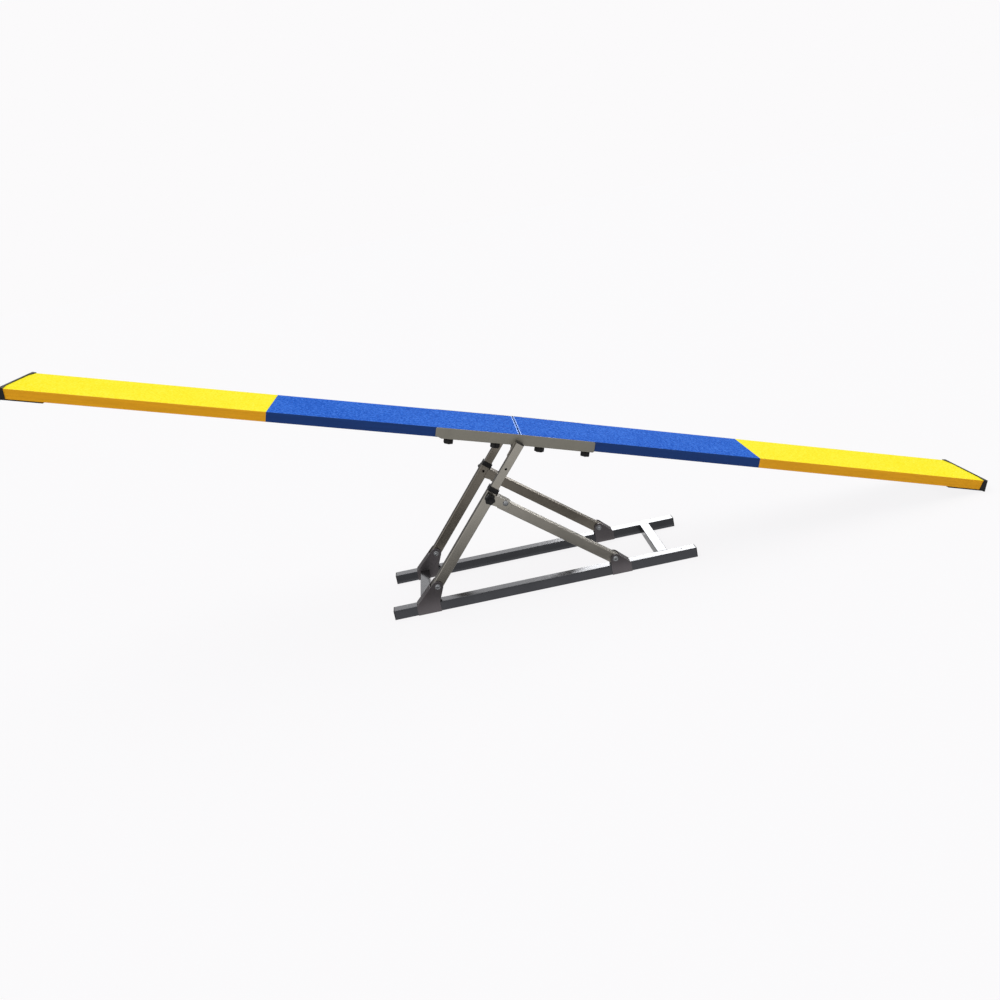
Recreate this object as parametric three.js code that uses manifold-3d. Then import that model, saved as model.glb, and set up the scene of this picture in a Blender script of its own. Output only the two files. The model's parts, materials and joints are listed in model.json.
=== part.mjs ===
// Agility seesaw: a two-part plank that tilts on a braced, height-adjustable stand.
// Millimetres, +Z up. +X runs towards the end of the plank that rests on the ground,
// and -Y is the side with the clamp knobs in view. The origin lies on the ground, in the
// middle of the whole object's box.
import * as THREE from 'three';
import { mergeVertices } from 'three/addons/utils/BufferGeometryUtils.js';
import Module from 'manifold-3d';

const wasm = await Module();
wasm.setup();

// Clearances shared by all pieces
const SEAT = 0.3; // gap between pieces that touch
const BORE_CLEAR = 0.3; // radial gap round a bolt, stud or axle
const RUN_GAP = 1.2; // gap between pieces that move past each other
const OVERRUN = 5; // how far a cutting tool passes the face that it cuts
const WELD = 0.001; // vertices closer than this are one vertex

// Plank
const PLANK_L = 3660;
const PLANK_W = 305;
const PLANK_T = 36;
const CONTACT_L = 914;
const COAT_TOP_T = 2.5;
const COAT_SIDE_T = 1;
const CORE_WALL = 2;
const CORE_CELLS = 5;
const SEAM_GAP = 5;
const SEAM_STRIP_T = 4;
const DROOP = 0.32; // degrees that each half sinks from the seam to its end

// Plank ends
const END_CAP_T = 6;
const END_CAP_RISE = 3;
const GUARD_T = 2.2;
const GUARD_ACROSS = 58;
const GUARD_TOP_L = 15;
const GUARD_FOOT_L = 24;
const END_PAD_L = 140;
const END_PAD_W = 290;
const END_PAD_T = 6;

// Tray that holds the two halves
const TRAY_L = 590;
const TRAY_BASE_T = 4;
const TRAY_WALL = 3;
const TRAY_CLEAR = 0.8;
const TRAY_CORNER_R = 7;
const TRAY_BEVEL_L = 23;
const TRAY_BEVEL_H = 9;
const SEAM_OFFSET = 13; // the seam lies this far from the axle, towards the ground end

// Axle and the lugs that it runs in
const AXLE_D = 16;
const AXLE_DROP = 20; // axle centre below the tray
const AXLE_END = 3; // how far the axle passes the inner wall of each inner leg
const LUG_T = 8;
const LUG_R = 14;
const LUG_INSET = 8; // lug's outer face in from the tray's edge
const RING_D = 28;
const RING_T = 10;
const AXLE_PLATE_T = 3;
const AXLE_PLATE_W = 34;
const AXLE_PLATE_L = 62;

// Clamp and lock knobs
const CLAMP_KNOB_D = 37;
const LOCK_KNOB_D = 40;
const KNOB_HEAD_T = 18;
const KNOB_HUB_D = 20;
const KNOB_HUB_T = 7;
const KNOB_LOBES = 6;
const KNOB_LOBE_DEPTH = 3;
const KNOB_BEVEL = 1.5;
const CLAMP_STUD_D = 8;
const CLAMP_STUD_REACH = 6; // past the core's lower wall
const CLAMP_INSET = 25; // outer clamp knobs in from the tray's ground end
const CLAMP_NEAR = 83; // inner clamp knobs, along the plank from the seam
const CLAMP_Y = 115;
const LOCK_STUD_D = 10;
const BOSS_D = 24;
const BOSS_T = 8;

// Stand: where the pivots are
const AXLE_H = 549.5;
const LEG_REACH = 385; // foot bolt to axle, level
const FOOT_BOLT_H = 101;
const BRACE_SPREAD = 680; // foot bolt to brace foot bolt, level
const BRACE_FOOT_H = 65;
const BRACE_TOP_S = 408; // brace top bolt, along the leg from the foot bolt
const BRACE_TOP_N = 62; // and below the leg's centre line

// Stand: tubes
const TUBE = 38;
const TUBE_WALL = 2.5;
const TUBE_R = 2.5;
const INNER_TUBE = 30;
const INNER_WALL = 2;
const INNER_R = 2;
const INNER_L = 325;
const INNER_PAST_AXLE = 34;
const OUTER_LEG_L = 441;
const OUTER_LEG_TAIL = 22; // below the foot bolt
const BRACE_HEAD = 18; // brace past its top bolt
const BRACE_TAIL = 10; // brace past its foot bolt
const BRACE_TOP_DROP = 12; // brace's centre line below its top bolt
const BRACE_FOOT_DROP = 5; // and below its foot bolt
const LOCK_S = 398; // lock knob, along the leg from the foot bolt
const HEIGHT_STEP = 122; // between the two height holes
const HEIGHT_HOLE_D = 9;
const COLLAR_W = 40;
const COLLAR_H = 18.5;
const COLLAR_SLEEVE = 8;
const COLLAR_R = 4;
const PLUG_T = 2.5;
const PLUG_DEPTH = 12;

// Stand: base frame
const RAIL_W = 42;
const RAIL_H = 38;
const RAIL_L = 1172;
const RAIL_TAIL = 182; // rail past the foot bolt
const CROSSBAR_INSET = 121; // crossbar centre in from the rail's end
const RAIL_CAP_T = 2.5;

// Stand: brackets
const PLATE_T = 4;
const WEB_T = 3;
const WEB_CLEAR = 2.4; // a rail bracket's web stops this far short of its tube's end
const FOOT_EAR_R = 21;
const FOOT_EAR_BACK = 94;
const FOOT_EAR_FRONT = -4;
const BRACE_EAR_R = 18.2;
const BRACE_EAR_BACK = 20;
const BRACE_EAR_FRONT = 57;
const BRACE_EAR_STEP = 2; // its slope ends this far below the rail's top
const LEG_EAR_R = 24;
const LEG_EAR_DOWN = 31; // where its ears meet the leg, down the leg from its bolt
const LEG_EAR_LAP = 6; // how far they lap the leg's sides
const LEG_WEB_REACH = 16; // how far its web passes the bolt
const LEG_WEB_T = 2.5;
const LEG_WEB_CLEAR = 1.1; // its ears rise this far above the brace
const BRACKET_LIFT = 0.5; // brackets end this far above the rail's underside

// Bolts
const BOLT_D = 10;
const BOLT_HEAD_D = 18;
const BOLT_HEAD_T = 5.5;
const WASHER_D = 21;
const WASHER_T = 1.5;
const NUT_D = 18;
const NUT_T = 8;
const BOLT_TAIL = 3;

// How finely round things are divided
const CORNER_STEPS = 2;
const ARC_STEPS = 8;
const BOLT_SIDES = 18;
const AXLE_SIDES = 28;
const KNOB_STEPS_PER_LOBE = 5;

// Places worked out from the sizes above
const UNDER = AXLE_DROP + TRAY_BASE_T + SEAT; // plank's underside above the axle
const TOP = UNDER + PLANK_T; // plank's top above the axle
const FLOOR = UNDER - SEAT - END_PAD_T; // end pad's underside above the axle
const HALF_L = PLANK_L / 2;
const TRAY_INNER_Y = PLANK_W / 2 + TRAY_CLEAR;
const TRAY_OUTER_Y = TRAY_INNER_Y + TRAY_WALL;
const AXLE_PLATE_Y = TRAY_OUTER_Y + RUN_GAP;
const INNER_FACE_Y = AXLE_PLATE_Y + AXLE_PLATE_T + SEAT;
const LEG_Y = INNER_FACE_Y + INNER_TUBE / 2;
const LEG_ANGLE = Math.atan2(AXLE_H - FOOT_BOLT_H, LEG_REACH);
const AXLE_S = Math.hypot(AXLE_H - FOOT_BOLT_H, LEG_REACH);
const OUTER_TOP_S = OUTER_LEG_L - OUTER_LEG_TAIL;
const SINK = Math.tan(THREE.MathUtils.degToRad(DROOP)); // how much lower each mm outwards
const CLAMP_FAR = TRAY_L / 2 - SEAM_OFFSET - CLAMP_INSET; // outer ones, likewise

// A place on the plank, u outwards from the seam, and how far it is from the axle along and
// square to the tray
const onPlank = (sign, u, w) => [SEAM_OFFSET + sign * u, w - u * SINK];
const level = ([u, w], tilt) => u * Math.cos(tilt) + w * Math.sin(tilt);

// The tray's slope when the right end's lower corner is on the ground
const GROUND_CORNER = onPlank(1, HALF_L, FLOOR);
const TILT = Math.asin(AXLE_H / Math.hypot(...GROUND_CORNER))
  + Math.atan2(GROUND_CORNER[1], GROUND_CORNER[0]);

// The box's middle, so that the origin can lie under it
const SPAN_LEFT = level(onPlank(-1, HALF_L, FLOOR), TILT);
const SPAN_RIGHT = level(onPlank(1, HALF_L, TOP + END_CAP_RISE), TILT);
const AXLE_X = -(SPAN_LEFT + SPAN_RIGHT) / 2;
const FOOT_X = AXLE_X - LEG_REACH;

const SIDES = [
  { name: 'front', sign: -1 },
  { name: 'rear', sign: 1 },
];
const ENDS = [
  { name: 'left', sign: -1 },
  { name: 'right', sign: 1 },
];

// Finishes
const finish = (color, roughness, metalness) => ({ color, roughness, metalness });
const ALUMINIUM = finish(0x8f8a80, 0.38, 0.75);
const RAIL_METAL = finish(0x6f7073, 0.36, 0.75);
const MILL_METAL = finish(0xa9abad, 0.45, 0.8);
const BRIGHT_STEEL = finish(0xc9cbce, 0.25, 0.9);
const BLACK_PLASTIC = finish(0x1d1b1c, 0.5, 0);
const BLACK_RUBBER = finish(0x141414, 0.8, 0);
const BLUE_COAT = finish(0x2f66d0, 0.85, 0);
const YELLOW_COAT = finish(0xffe92e, 0.85, 0);

// Solids and meshes

function solidOf(geometry) {
  const bare = geometry.clone();
  bare.deleteAttribute('normal');
  bare.deleteAttribute('uv');
  const merged = mergeVertices(bare, WELD);
  return new wasm.Manifold(new wasm.Mesh({
    numProp: 3,
    vertProperties: Float32Array.from(merged.attributes.position.array),
    triVerts: Uint32Array.from(merged.index.array),
  }));
}

function geometryOf(solid) {
  const mesh = solid.getMesh();
  const geometry = new THREE.BufferGeometry();
  geometry.setAttribute('position', new THREE.BufferAttribute(mesh.vertProperties, 3));
  geometry.setIndex(new THREE.BufferAttribute(mesh.triVerts, 1));
  const flat = geometry.toNonIndexed();
  flat.computeVertexNormals();
  return flat;
}

function cut(geometry, tools) {
  return geometryOf(tools.reduce((solid, tool) => solid.subtract(solidOf(tool)), solidOf(geometry)));
}

function join(geometries) {
  const [first, ...rest] = geometries.map(solidOf);
  return geometryOf(rest.reduce((solid, other) => solid.add(other), first));
}

function part(name, geometry, look) {
  const mesh = new THREE.Mesh(geometry, new THREE.MeshStandardMaterial(look));
  mesh.name = name;
  return mesh;
}

// A box between two places on each axis
function block([x0, x1], [y0, y1], [z0, z1]) {
  const geometry = new THREE.BoxGeometry(Math.abs(x1 - x0), Math.abs(y1 - y0), Math.abs(z1 - z0));
  return geometry.translate((x0 + x1) / 2, (y0 + y1) / 2, (z0 + z1) / 2);
}

// A round bar along Y, at x and z, between two places on Y
function barY(diameter, x, z, y0, y1, sides = BOLT_SIDES) {
  const geometry = new THREE.CylinderGeometry(diameter / 2, diameter / 2, Math.abs(y1 - y0), sides);
  return geometry.translate(x, (y0 + y1) / 2, z);
}

// A round bar along Z, at x and y, between two places on Z
function barZ(diameter, x, y, z0, z1, sides = BOLT_SIDES) {
  const geometry = new THREE.CylinderGeometry(diameter / 2, diameter / 2, Math.abs(z1 - z0), sides);
  return geometry.rotateX(Math.PI / 2).translate(x, y, (z0 + z1) / 2);
}

const ALONG_X = new THREE.Matrix4().makeBasis(
  new THREE.Vector3(0, 1, 0), new THREE.Vector3(0, 0, 1), new THREE.Vector3(1, 0, 0));
const ALONG_Y = new THREE.Matrix4().makeBasis(
  new THREE.Vector3(1, 0, 0), new THREE.Vector3(0, 0, 1), new THREE.Vector3(0, -1, 0));

// An outline in Y and Z carried along X
function alongX(shape, x0, x1) {
  const geometry = new THREE.ExtrudeGeometry(shape, {
    depth: x1 - x0, bevelEnabled: false, curveSegments: CORNER_STEPS,
  });
  return geometry.applyMatrix4(ALONG_X).translate(x0, 0, 0);
}

// An outline in X and Z carried along Y
function alongY(shape, y0, y1) {
  const geometry = new THREE.ExtrudeGeometry(shape, {
    depth: y1 - y0, bevelEnabled: false, curveSegments: ARC_STEPS,
  });
  return geometry.applyMatrix4(ALONG_Y).translate(0, y1, 0);
}

// A rectangle round the origin with rounded corners
function roundedRectangle(target, width, height, radius) {
  const w = width / 2 - radius;
  const h = height / 2 - radius;
  target.absarc(w, h, radius, 0, Math.PI / 2);
  target.absarc(-w, h, radius, Math.PI / 2, Math.PI);
  target.absarc(-w, -h, radius, Math.PI, 1.5 * Math.PI);
  target.absarc(w, -h, radius, 1.5 * Math.PI, 2 * Math.PI);
  target.closePath();
  return target;
}

// A rectangular tube's section: width on Y, height on Z
function tubeSection(width, height, wall, radius) {
  const shape = roundedRectangle(new THREE.Shape(), width, height, radius);
  const innerRadius = Math.min(radius, wall) / 2;
  shape.holes.push(roundedRectangle(new THREE.Path(), width - 2 * wall, height - 2 * wall, innerRadius));
  return shape;
}

// Where, round the origin, a line from x and y touches a circle: ahead of that place or behind it
function touchAngle(x, y, radius, turn) {
  return Math.atan2(y, x) + turn * Math.acos(radius / Math.hypot(x, y));
}

// A bracket's side: a base as wide as back and front allow, drawn up to a round ear at the origin.
// drop is how far the ear narrows from, below the origin, and base is where it ends.
function earOutline(back, front, drop, base, radius) {
  const shape = new THREE.Shape();
  shape.moveTo(front, -base);
  shape.lineTo(front, -drop);
  shape.absarc(0, 0, radius, touchAngle(front, -drop, radius, 1),
    touchAngle(-back, -drop, radius, -1) + 2 * Math.PI);
  shape.lineTo(-back, -drop);
  shape.lineTo(-back, -base);
  shape.closePath();
  return shape;
}

// A lobed hand knob on a stud. The stud points up and the hub's face is at z = 0.
function knob(diameter, studDiameter, studLength) {
  const outline = new THREE.Shape();
  const steps = KNOB_LOBES * KNOB_STEPS_PER_LOBE;
  const radius = diameter / 2 - KNOB_BEVEL;
  for (let i = 0; i < steps; i += 1) {
    const turn = (2 * Math.PI * i) / steps;
    const r = radius - (KNOB_LOBE_DEPTH * (1 - Math.cos(KNOB_LOBES * turn))) / 2;
    outline[i ? 'lineTo' : 'moveTo'](r * Math.cos(turn), r * Math.sin(turn));
  }
  outline.closePath();
  const head = new THREE.ExtrudeGeometry(outline, {
    depth: KNOB_HEAD_T - 2 * KNOB_BEVEL,
    bevelThickness: KNOB_BEVEL,
    bevelSize: KNOB_BEVEL,
    bevelSegments: 1,
  }).translate(0, 0, KNOB_BEVEL - KNOB_HUB_T - KNOB_HEAD_T);
  const hub = barZ(KNOB_HUB_D, 0, 0, -KNOB_HUB_T - KNOB_BEVEL, 0);
  const stud = barZ(studDiameter, 0, 0, -KNOB_BEVEL, studLength);
  return join([head, hub, stud]);
}

// A button-head bolt along Y with washers and a nut, clamping what lies between -grip and grip.
// Its head faces out of the stand on both sides.
function bolt(grip, sign) {
  const domeRadius = BOLT_HEAD_D / 2;
  const profile = [
    [0, -grip - WASHER_T - BOLT_HEAD_T],
    [domeRadius / 2, -grip - WASHER_T - BOLT_HEAD_T],
    [domeRadius * Math.cos(Math.PI / 6), -grip - WASHER_T - BOLT_HEAD_T / 2],
    [domeRadius, -grip - WASHER_T],
    [WASHER_D / 2, -grip - WASHER_T],
    [WASHER_D / 2, -grip],
    [BOLT_D / 2, -grip],
    [BOLT_D / 2, grip],
    [WASHER_D / 2, grip],
    [WASHER_D / 2, grip + WASHER_T],
    [BOLT_D / 2, grip + WASHER_T],
    [BOLT_D / 2, grip + WASHER_T + NUT_T + BOLT_TAIL],
    [0, grip + WASHER_T + NUT_T + BOLT_TAIL],
  ].map(([x, y]) => new THREE.Vector2(x, y));
  const turned = new THREE.LatheGeometry(profile, BOLT_SIDES);
  const nut = new THREE.CylinderGeometry(NUT_D / 2, NUT_D / 2, NUT_T, 6);
  nut.translate(0, grip + WASHER_T + NUT_T / 2, 0);
  return join([turned, nut]).rotateZ(sign < 0 ? 0 : Math.PI);
}

// Plank. x runs from the seam and z from the axle, square to the tray. Each piece is drawn
// straight, and its height then falls evenly from the seam to the end.

const outwards = (sign, a, b) => (sign > 0 ? [a, b] : [-b, -a]);

function sink(geometry) {
  const { position } = geometry.attributes;
  for (let i = 0; i < position.count; i += 1) {
    position.setZ(i, position.getZ(i) - Math.abs(position.getX(i)) * SINK);
  }
  geometry.computeVertexNormals();
  return geometry;
}

// A piece that crosses the seam bends there, so its halves sink apart
function sinkAcross(geometry) {
  const solid = solidOf(geometry);
  const { min, max } = new THREE.Box3().setFromBufferAttribute(geometry.attributes.position);
  const halves = [[min.x - OVERRUN, 0], [0, max.x + OVERRUN]].map((span) => {
    const side = block(span, [min.y - OVERRUN, max.y + OVERRUN], [min.z - OVERRUN, max.z + OVERRUN]);
    return sink(geometryOf(solid.intersect(solidOf(side))));
  });
  return join(halves);
}

const STRIP_START = SEAM_GAP / 2;
const BOARD_START = STRIP_START + SEAM_STRIP_T + SEAT;
const CONTACT_START = HALF_L - CONTACT_L;
const BOARD_END = HALF_L - END_CAP_T - SEAT;

// The hollow core: one box section with equal cells, drilled for the clamp studs
function plankCore(sign) {
  const halfWidth = PLANK_W / 2 - COAT_SIDE_T - SEAT;
  const top = TOP - COAT_TOP_T - SEAT;
  const [start, end] = outwards(sign, BOARD_START, BOARD_END);
  const pitch = (2 * halfWidth - CORE_WALL) / CORE_CELLS;
  const cells = Array.from({ length: CORE_CELLS }, (_, i) => {
    const left = -halfWidth + CORE_WALL + i * pitch;
    return block([start - OVERRUN, end + OVERRUN], [left, left + pitch - CORE_WALL],
      [UNDER + CORE_WALL, top - CORE_WALL]);
  });
  const drill = CLAMP_STUD_D + 2 * BORE_CLEAR;
  const holes = clampPlaces(sign)
    .map((place) => barZ(drill, place.x, place.y, UNDER - OVERRUN, UNDER + CORE_WALL + OVERRUN));
  return cut(block([start, end], [-halfWidth, halfWidth], [UNDER, top]), [...cells, ...holes]);
}

// Non-slip coat over the top and down both sides of the core
function coat(sign, start, end) {
  const half = PLANK_W / 2;
  const shape = new THREE.Shape();
  shape.moveTo(-half, UNDER);
  shape.lineTo(-half + COAT_SIDE_T, UNDER);
  shape.lineTo(-half + COAT_SIDE_T, TOP - COAT_TOP_T);
  shape.lineTo(half - COAT_SIDE_T, TOP - COAT_TOP_T);
  shape.lineTo(half - COAT_SIDE_T, UNDER);
  shape.lineTo(half, UNDER);
  shape.lineTo(half, TOP);
  shape.lineTo(-half, TOP);
  shape.closePath();
  return alongX(shape, ...outwards(sign, start, end));
}

function seamStrip(sign) {
  const half = PLANK_W / 2;
  return block(outwards(sign, STRIP_START, STRIP_START + SEAM_STRIP_T), [-half, half], [UNDER, TOP]);
}

// A bumper across the end, with a guard round each corner
function endCap(sign) {
  const outer = PLANK_W / 2 + SEAT + GUARD_T;
  const side = outer - GUARD_T;
  const tip = sign * HALF_L;
  const guardTop = TOP + SEAT + GUARD_T;
  const wrap = new THREE.Shape();
  wrap.moveTo(tip, UNDER);
  wrap.lineTo(tip, guardTop);
  wrap.lineTo(tip - sign * GUARD_TOP_L, guardTop);
  wrap.lineTo(tip - sign * GUARD_FOOT_L, UNDER);
  wrap.closePath();
  const pieces = [
    block(outwards(sign, HALF_L - END_CAP_T, HALF_L), [-outer, outer], [FLOOR, TOP + END_CAP_RISE]),
    alongY(wrap, side, outer),
    alongY(wrap, -outer, -side),
  ];
  for (const across of [-1, 1]) {
    const corner = new THREE.Shape();
    corner.moveTo(tip, across * outer);
    corner.lineTo(tip - sign * GUARD_TOP_L, across * outer);
    corner.lineTo(tip - sign * END_CAP_T, across * (outer - GUARD_ACROSS));
    corner.lineTo(tip, across * (outer - GUARD_ACROSS));
    corner.closePath();
    const lid = new THREE.ExtrudeGeometry(corner, { depth: GUARD_T, bevelEnabled: false });
    pieces.push(lid.translate(0, 0, TOP + SEAT));
  }
  return join(pieces);
}

function endPad(sign) {
  const half = END_PAD_W / 2;
  return block(outwards(sign, BOARD_END - END_PAD_L, BOARD_END), [-half, half], [FLOOR, UNDER - SEAT]);
}

// Where one half's clamp knobs are, from the left along both edges of the tray
function clampPlaces(sign) {
  const stations = sign < 0 ? [-CLAMP_FAR, -CLAMP_NEAR] : [CLAMP_NEAR, CLAMP_FAR];
  const first = sign < 0 ? 1 : stations.length + 1;
  return SIDES.flatMap((side) => stations.map((x, i) => (
    { name: `clamp_knob_${side.name}_${first + i}`, x, y: side.sign * CLAMP_Y })));
}

// The tray's ends lie equally far from the axle, so not from the seam
function trayWallOutline() {
  const left = -TRAY_L / 2 - SEAM_OFFSET;
  const right = TRAY_L / 2 - SEAM_OFFSET;
  const r = TRAY_CORNER_R;
  const shape = new THREE.Shape();
  shape.moveTo(left, AXLE_DROP + TRAY_BEVEL_H);
  shape.lineTo(left + TRAY_BEVEL_L, AXLE_DROP);
  shape.absarc(right - r, AXLE_DROP + r, r, -Math.PI / 2, 0);
  shape.absarc(right - r, TOP - r, r, 0, Math.PI / 2);
  shape.absarc(left + r, TOP - r, r, Math.PI / 2, Math.PI);
  shape.closePath();
  return shape;
}

function tray() {
  const left = -TRAY_L / 2 - SEAM_OFFSET + TRAY_BEVEL_L;
  const right = TRAY_L / 2 - SEAM_OFFSET - TRAY_CORNER_R;
  const floor = block([left, right], [-TRAY_OUTER_Y, TRAY_OUTER_Y],
    [AXLE_DROP, AXLE_DROP + TRAY_BASE_T]);
  const walls = [
    alongY(trayWallOutline(), TRAY_INNER_Y, TRAY_OUTER_Y),
    alongY(trayWallOutline(), -TRAY_OUTER_Y, -TRAY_INNER_Y),
  ];
  const drill = CLAMP_STUD_D + 2 * BORE_CLEAR;
  const holes = [...clampPlaces(-1), ...clampPlaces(1)].map((place) => barZ(drill, place.x, place.y,
    AXLE_DROP - OVERRUN, AXLE_DROP + TRAY_BASE_T + OVERRUN));
  return sinkAcross(cut(join([floor, ...walls]), holes));
}

// The lug hangs below the tray, so it is an ear turned upside down
function pivotLug(sign) {
  const outerY = TRAY_OUTER_Y - LUG_INSET;
  const drop = AXLE_DROP - SEAT;
  const shape = new THREE.Shape();
  shape.moveTo(LUG_R, drop);
  shape.lineTo(-LUG_R, drop);
  shape.absarc(0, 0, LUG_R, Math.PI, 2 * Math.PI);
  shape.closePath();
  const near = Math.min(sign * outerY, sign * (outerY - LUG_T));
  const lug = alongY(shape, near, near + LUG_T);
  const bore = barY(AXLE_D + 2 * BORE_CLEAR, 0, 0, near - OVERRUN, near + LUG_T + OVERRUN, AXLE_SIDES);
  return cut(lug, [bore]);
}

function axleRing(sign) {
  const near = sign * (TRAY_OUTER_Y - LUG_INSET - LUG_T - SEAT);
  const far = near - sign * RING_T;
  const ring = barY(RING_D, 0, 0, near, far, AXLE_SIDES);
  const bore = barY(AXLE_D + 2 * BORE_CLEAR, 0, 0, near + sign * OVERRUN, far - sign * OVERRUN, AXLE_SIDES);
  return cut(ring, [bore]);
}

function buildPlank() {
  const group = new THREE.Group();
  group.position.set(AXLE_X, 0, AXLE_H);
  group.rotation.y = TILT;
  const clampKnob = knob(CLAMP_KNOB_D, CLAMP_STUD_D, TRAY_BASE_T + SEAT + CORE_WALL + CLAMP_STUD_REACH);
  const boards = new THREE.Group();
  boards.position.x = SEAM_OFFSET;
  for (const { name, sign } of ENDS) {
    const deck = sink(coat(sign, BOARD_START, CONTACT_START - SEAT / 2));
    const contact = sink(coat(sign, CONTACT_START + SEAT / 2, BOARD_END));
    boards.add(part(`plank_core_${name}`, sink(plankCore(sign)), MILL_METAL));
    boards.add(part(`deck_coat_${name}`, deck, BLUE_COAT));
    boards.add(part(`contact_coat_${name}`, contact, YELLOW_COAT));
    boards.add(part(`seam_strip_${name}`, sink(seamStrip(sign)), MILL_METAL));
    boards.add(part(`end_cap_${name}`, sink(endCap(sign)), BLACK_PLASTIC));
    boards.add(part(`end_pad_${name}`, sink(endPad(sign)), BLACK_RUBBER));
    for (const place of clampPlaces(sign)) {
      const mesh = part(place.name, clampKnob.clone(), BLACK_PLASTIC);
      mesh.position.set(place.x, place.y, AXLE_DROP - SEAT - Math.abs(place.x) * SINK);
      boards.add(mesh);
    }
  }
  boards.add(part('tray', tray(), ALUMINIUM));
  group.add(boards);
  for (const { name, sign } of SIDES) {
    group.add(part(`pivot_lug_${name}`, pivotLug(sign), ALUMINIUM));
    group.add(part(`axle_ring_${name}`, axleRing(sign), BRIGHT_STEEL));
  }
  const reach = INNER_FACE_Y + INNER_WALL + AXLE_END;
  group.add(part('axle_rod', barY(AXLE_D, 0, 0, -reach, reach, AXLE_SIDES), BRIGHT_STEEL));
  return group;
}

// Legs. x runs up the leg from the foot bolt, and -z is the underside, where the brace is.

function outerLeg(sign) {
  const section = tubeSection(TUBE, TUBE, TUBE_WALL, TUBE_R);
  const tube = alongX(section, -OUTER_LEG_TAIL, OUTER_TOP_S);
  const face = (sign * TUBE) / 2;
  const boss = barY(BOSS_D, LOCK_S, 0, face - sign * TUBE_WALL, face + sign * BOSS_T);
  const through = TUBE / 2 + BOSS_T + OVERRUN;
  return cut(join([tube, boss]), [
    barY(BOLT_D + 2 * BORE_CLEAR, 0, 0, -through, through),
    barY(LOCK_STUD_D + 2 * BORE_CLEAR, LOCK_S, 0, -through, through),
  ]);
}

// The collar caps the outer tube, and its sleeve guides the inner one
function collar() {
  const opening = INNER_TUBE + 2 * SEAT;
  const sleeveWidth = TUBE - 2 * TUBE_WALL - 2 * SEAT;
  const cap = tubeSection(COLLAR_W, COLLAR_W, (COLLAR_W - opening) / 2, COLLAR_R);
  const sleeve = tubeSection(sleeveWidth, sleeveWidth, (sleeveWidth - opening) / 2, INNER_R);
  return join([
    alongX(cap, OUTER_TOP_S + SEAT, OUTER_TOP_S + COLLAR_H),
    alongX(sleeve, OUTER_TOP_S - COLLAR_SLEEVE, OUTER_TOP_S + COLLAR_H / 2),
  ]);
}

// A channel welded under the leg. Its web covers the brace and its two ears hold the brace's
// top bolt. Here x runs away from the leg and z up along it, with the bolt at the origin.
function braceBracket() {
  const inner = TUBE / 2 + SEAT;
  const outer = inner + PLATE_T;
  const weld = BRACE_TOP_N - TUBE / 2 - SEAT;
  const webFoot = TUBE / 2 - BRACE_TOP_DROP + LEG_WEB_CLEAR;
  const webTop = webFoot + LEG_WEB_T;
  const ear = new THREE.Shape();
  ear.moveTo(-weld - LEG_EAR_LAP, webFoot);
  ear.lineTo(-weld - LEG_EAR_LAP, -LEG_EAR_DOWN);
  ear.lineTo(-weld, -LEG_EAR_DOWN);
  ear.absarc(0, 0, LEG_EAR_R, -Math.PI / 2, Math.asin(webFoot / LEG_EAR_R));
  ear.closePath();
  const plates = [alongY(ear, inner, outer), alongY(ear, -outer, -inner)];
  const web = block([-weld, LEG_WEB_REACH], [-outer, outer], [webFoot - SEAT, webTop]);
  const bore = barY(BOLT_D + 2 * BORE_CLEAR, 0, 0, -outer - OVERRUN, outer + OVERRUN);
  const turned = cut(join([...plates, web]), [bore]);
  return turned.rotateY(Math.PI / 2).translate(BRACE_TOP_S, 0, -BRACE_TOP_N);
}

function innerLeg(sign) {
  const top = AXLE_S + INNER_PAST_AXLE;
  const tube = alongX(tubeSection(INNER_TUBE, INNER_TUBE, INNER_WALL, INNER_R), top - INNER_L, top);
  const through = INNER_TUBE / 2 + OVERRUN;
  const inside = -sign * (INNER_TUBE / 2 - INNER_WALL - AXLE_END);
  return cut(tube, [
    barY(HEIGHT_HOLE_D, LOCK_S, 0, -through, through),
    barY(HEIGHT_HOLE_D, LOCK_S + HEIGHT_STEP, 0, -through, through),
    barY(AXLE_D + 2 * BORE_CLEAR, AXLE_S, 0, inside, -sign * through, AXLE_SIDES),
  ]);
}

// A flat lid on a tube's end, with a spigot in the bore
function tubePlug(width, height, wall, radius, lid) {
  const spigotW = width - 2 * wall - 2 * SEAT;
  const spigotH = height - 2 * wall - 2 * SEAT;
  return join([
    alongX(roundedRectangle(new THREE.Shape(), width, height, radius), 0, lid),
    alongX(roundedRectangle(new THREE.Shape(), spigotW, spigotH, radius / 2), -PLUG_DEPTH, lid / 2),
  ]);
}

function axlePlate(sign) {
  const near = Math.min(sign * AXLE_PLATE_Y, sign * (AXLE_PLATE_Y + AXLE_PLATE_T)) - sign * LEG_Y;
  const shape = roundedRectangle(new THREE.Shape(), AXLE_PLATE_L, AXLE_PLATE_W, TUBE_R);
  const plate = alongY(shape, near, near + AXLE_PLATE_T).translate(AXLE_S, 0, 0);
  const bore = barY(AXLE_D + 2 * BORE_CLEAR, AXLE_S, 0, near - OVERRUN, near + AXLE_PLATE_T + OVERRUN,
    AXLE_SIDES);
  return cut(plate, [bore]);
}

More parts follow.
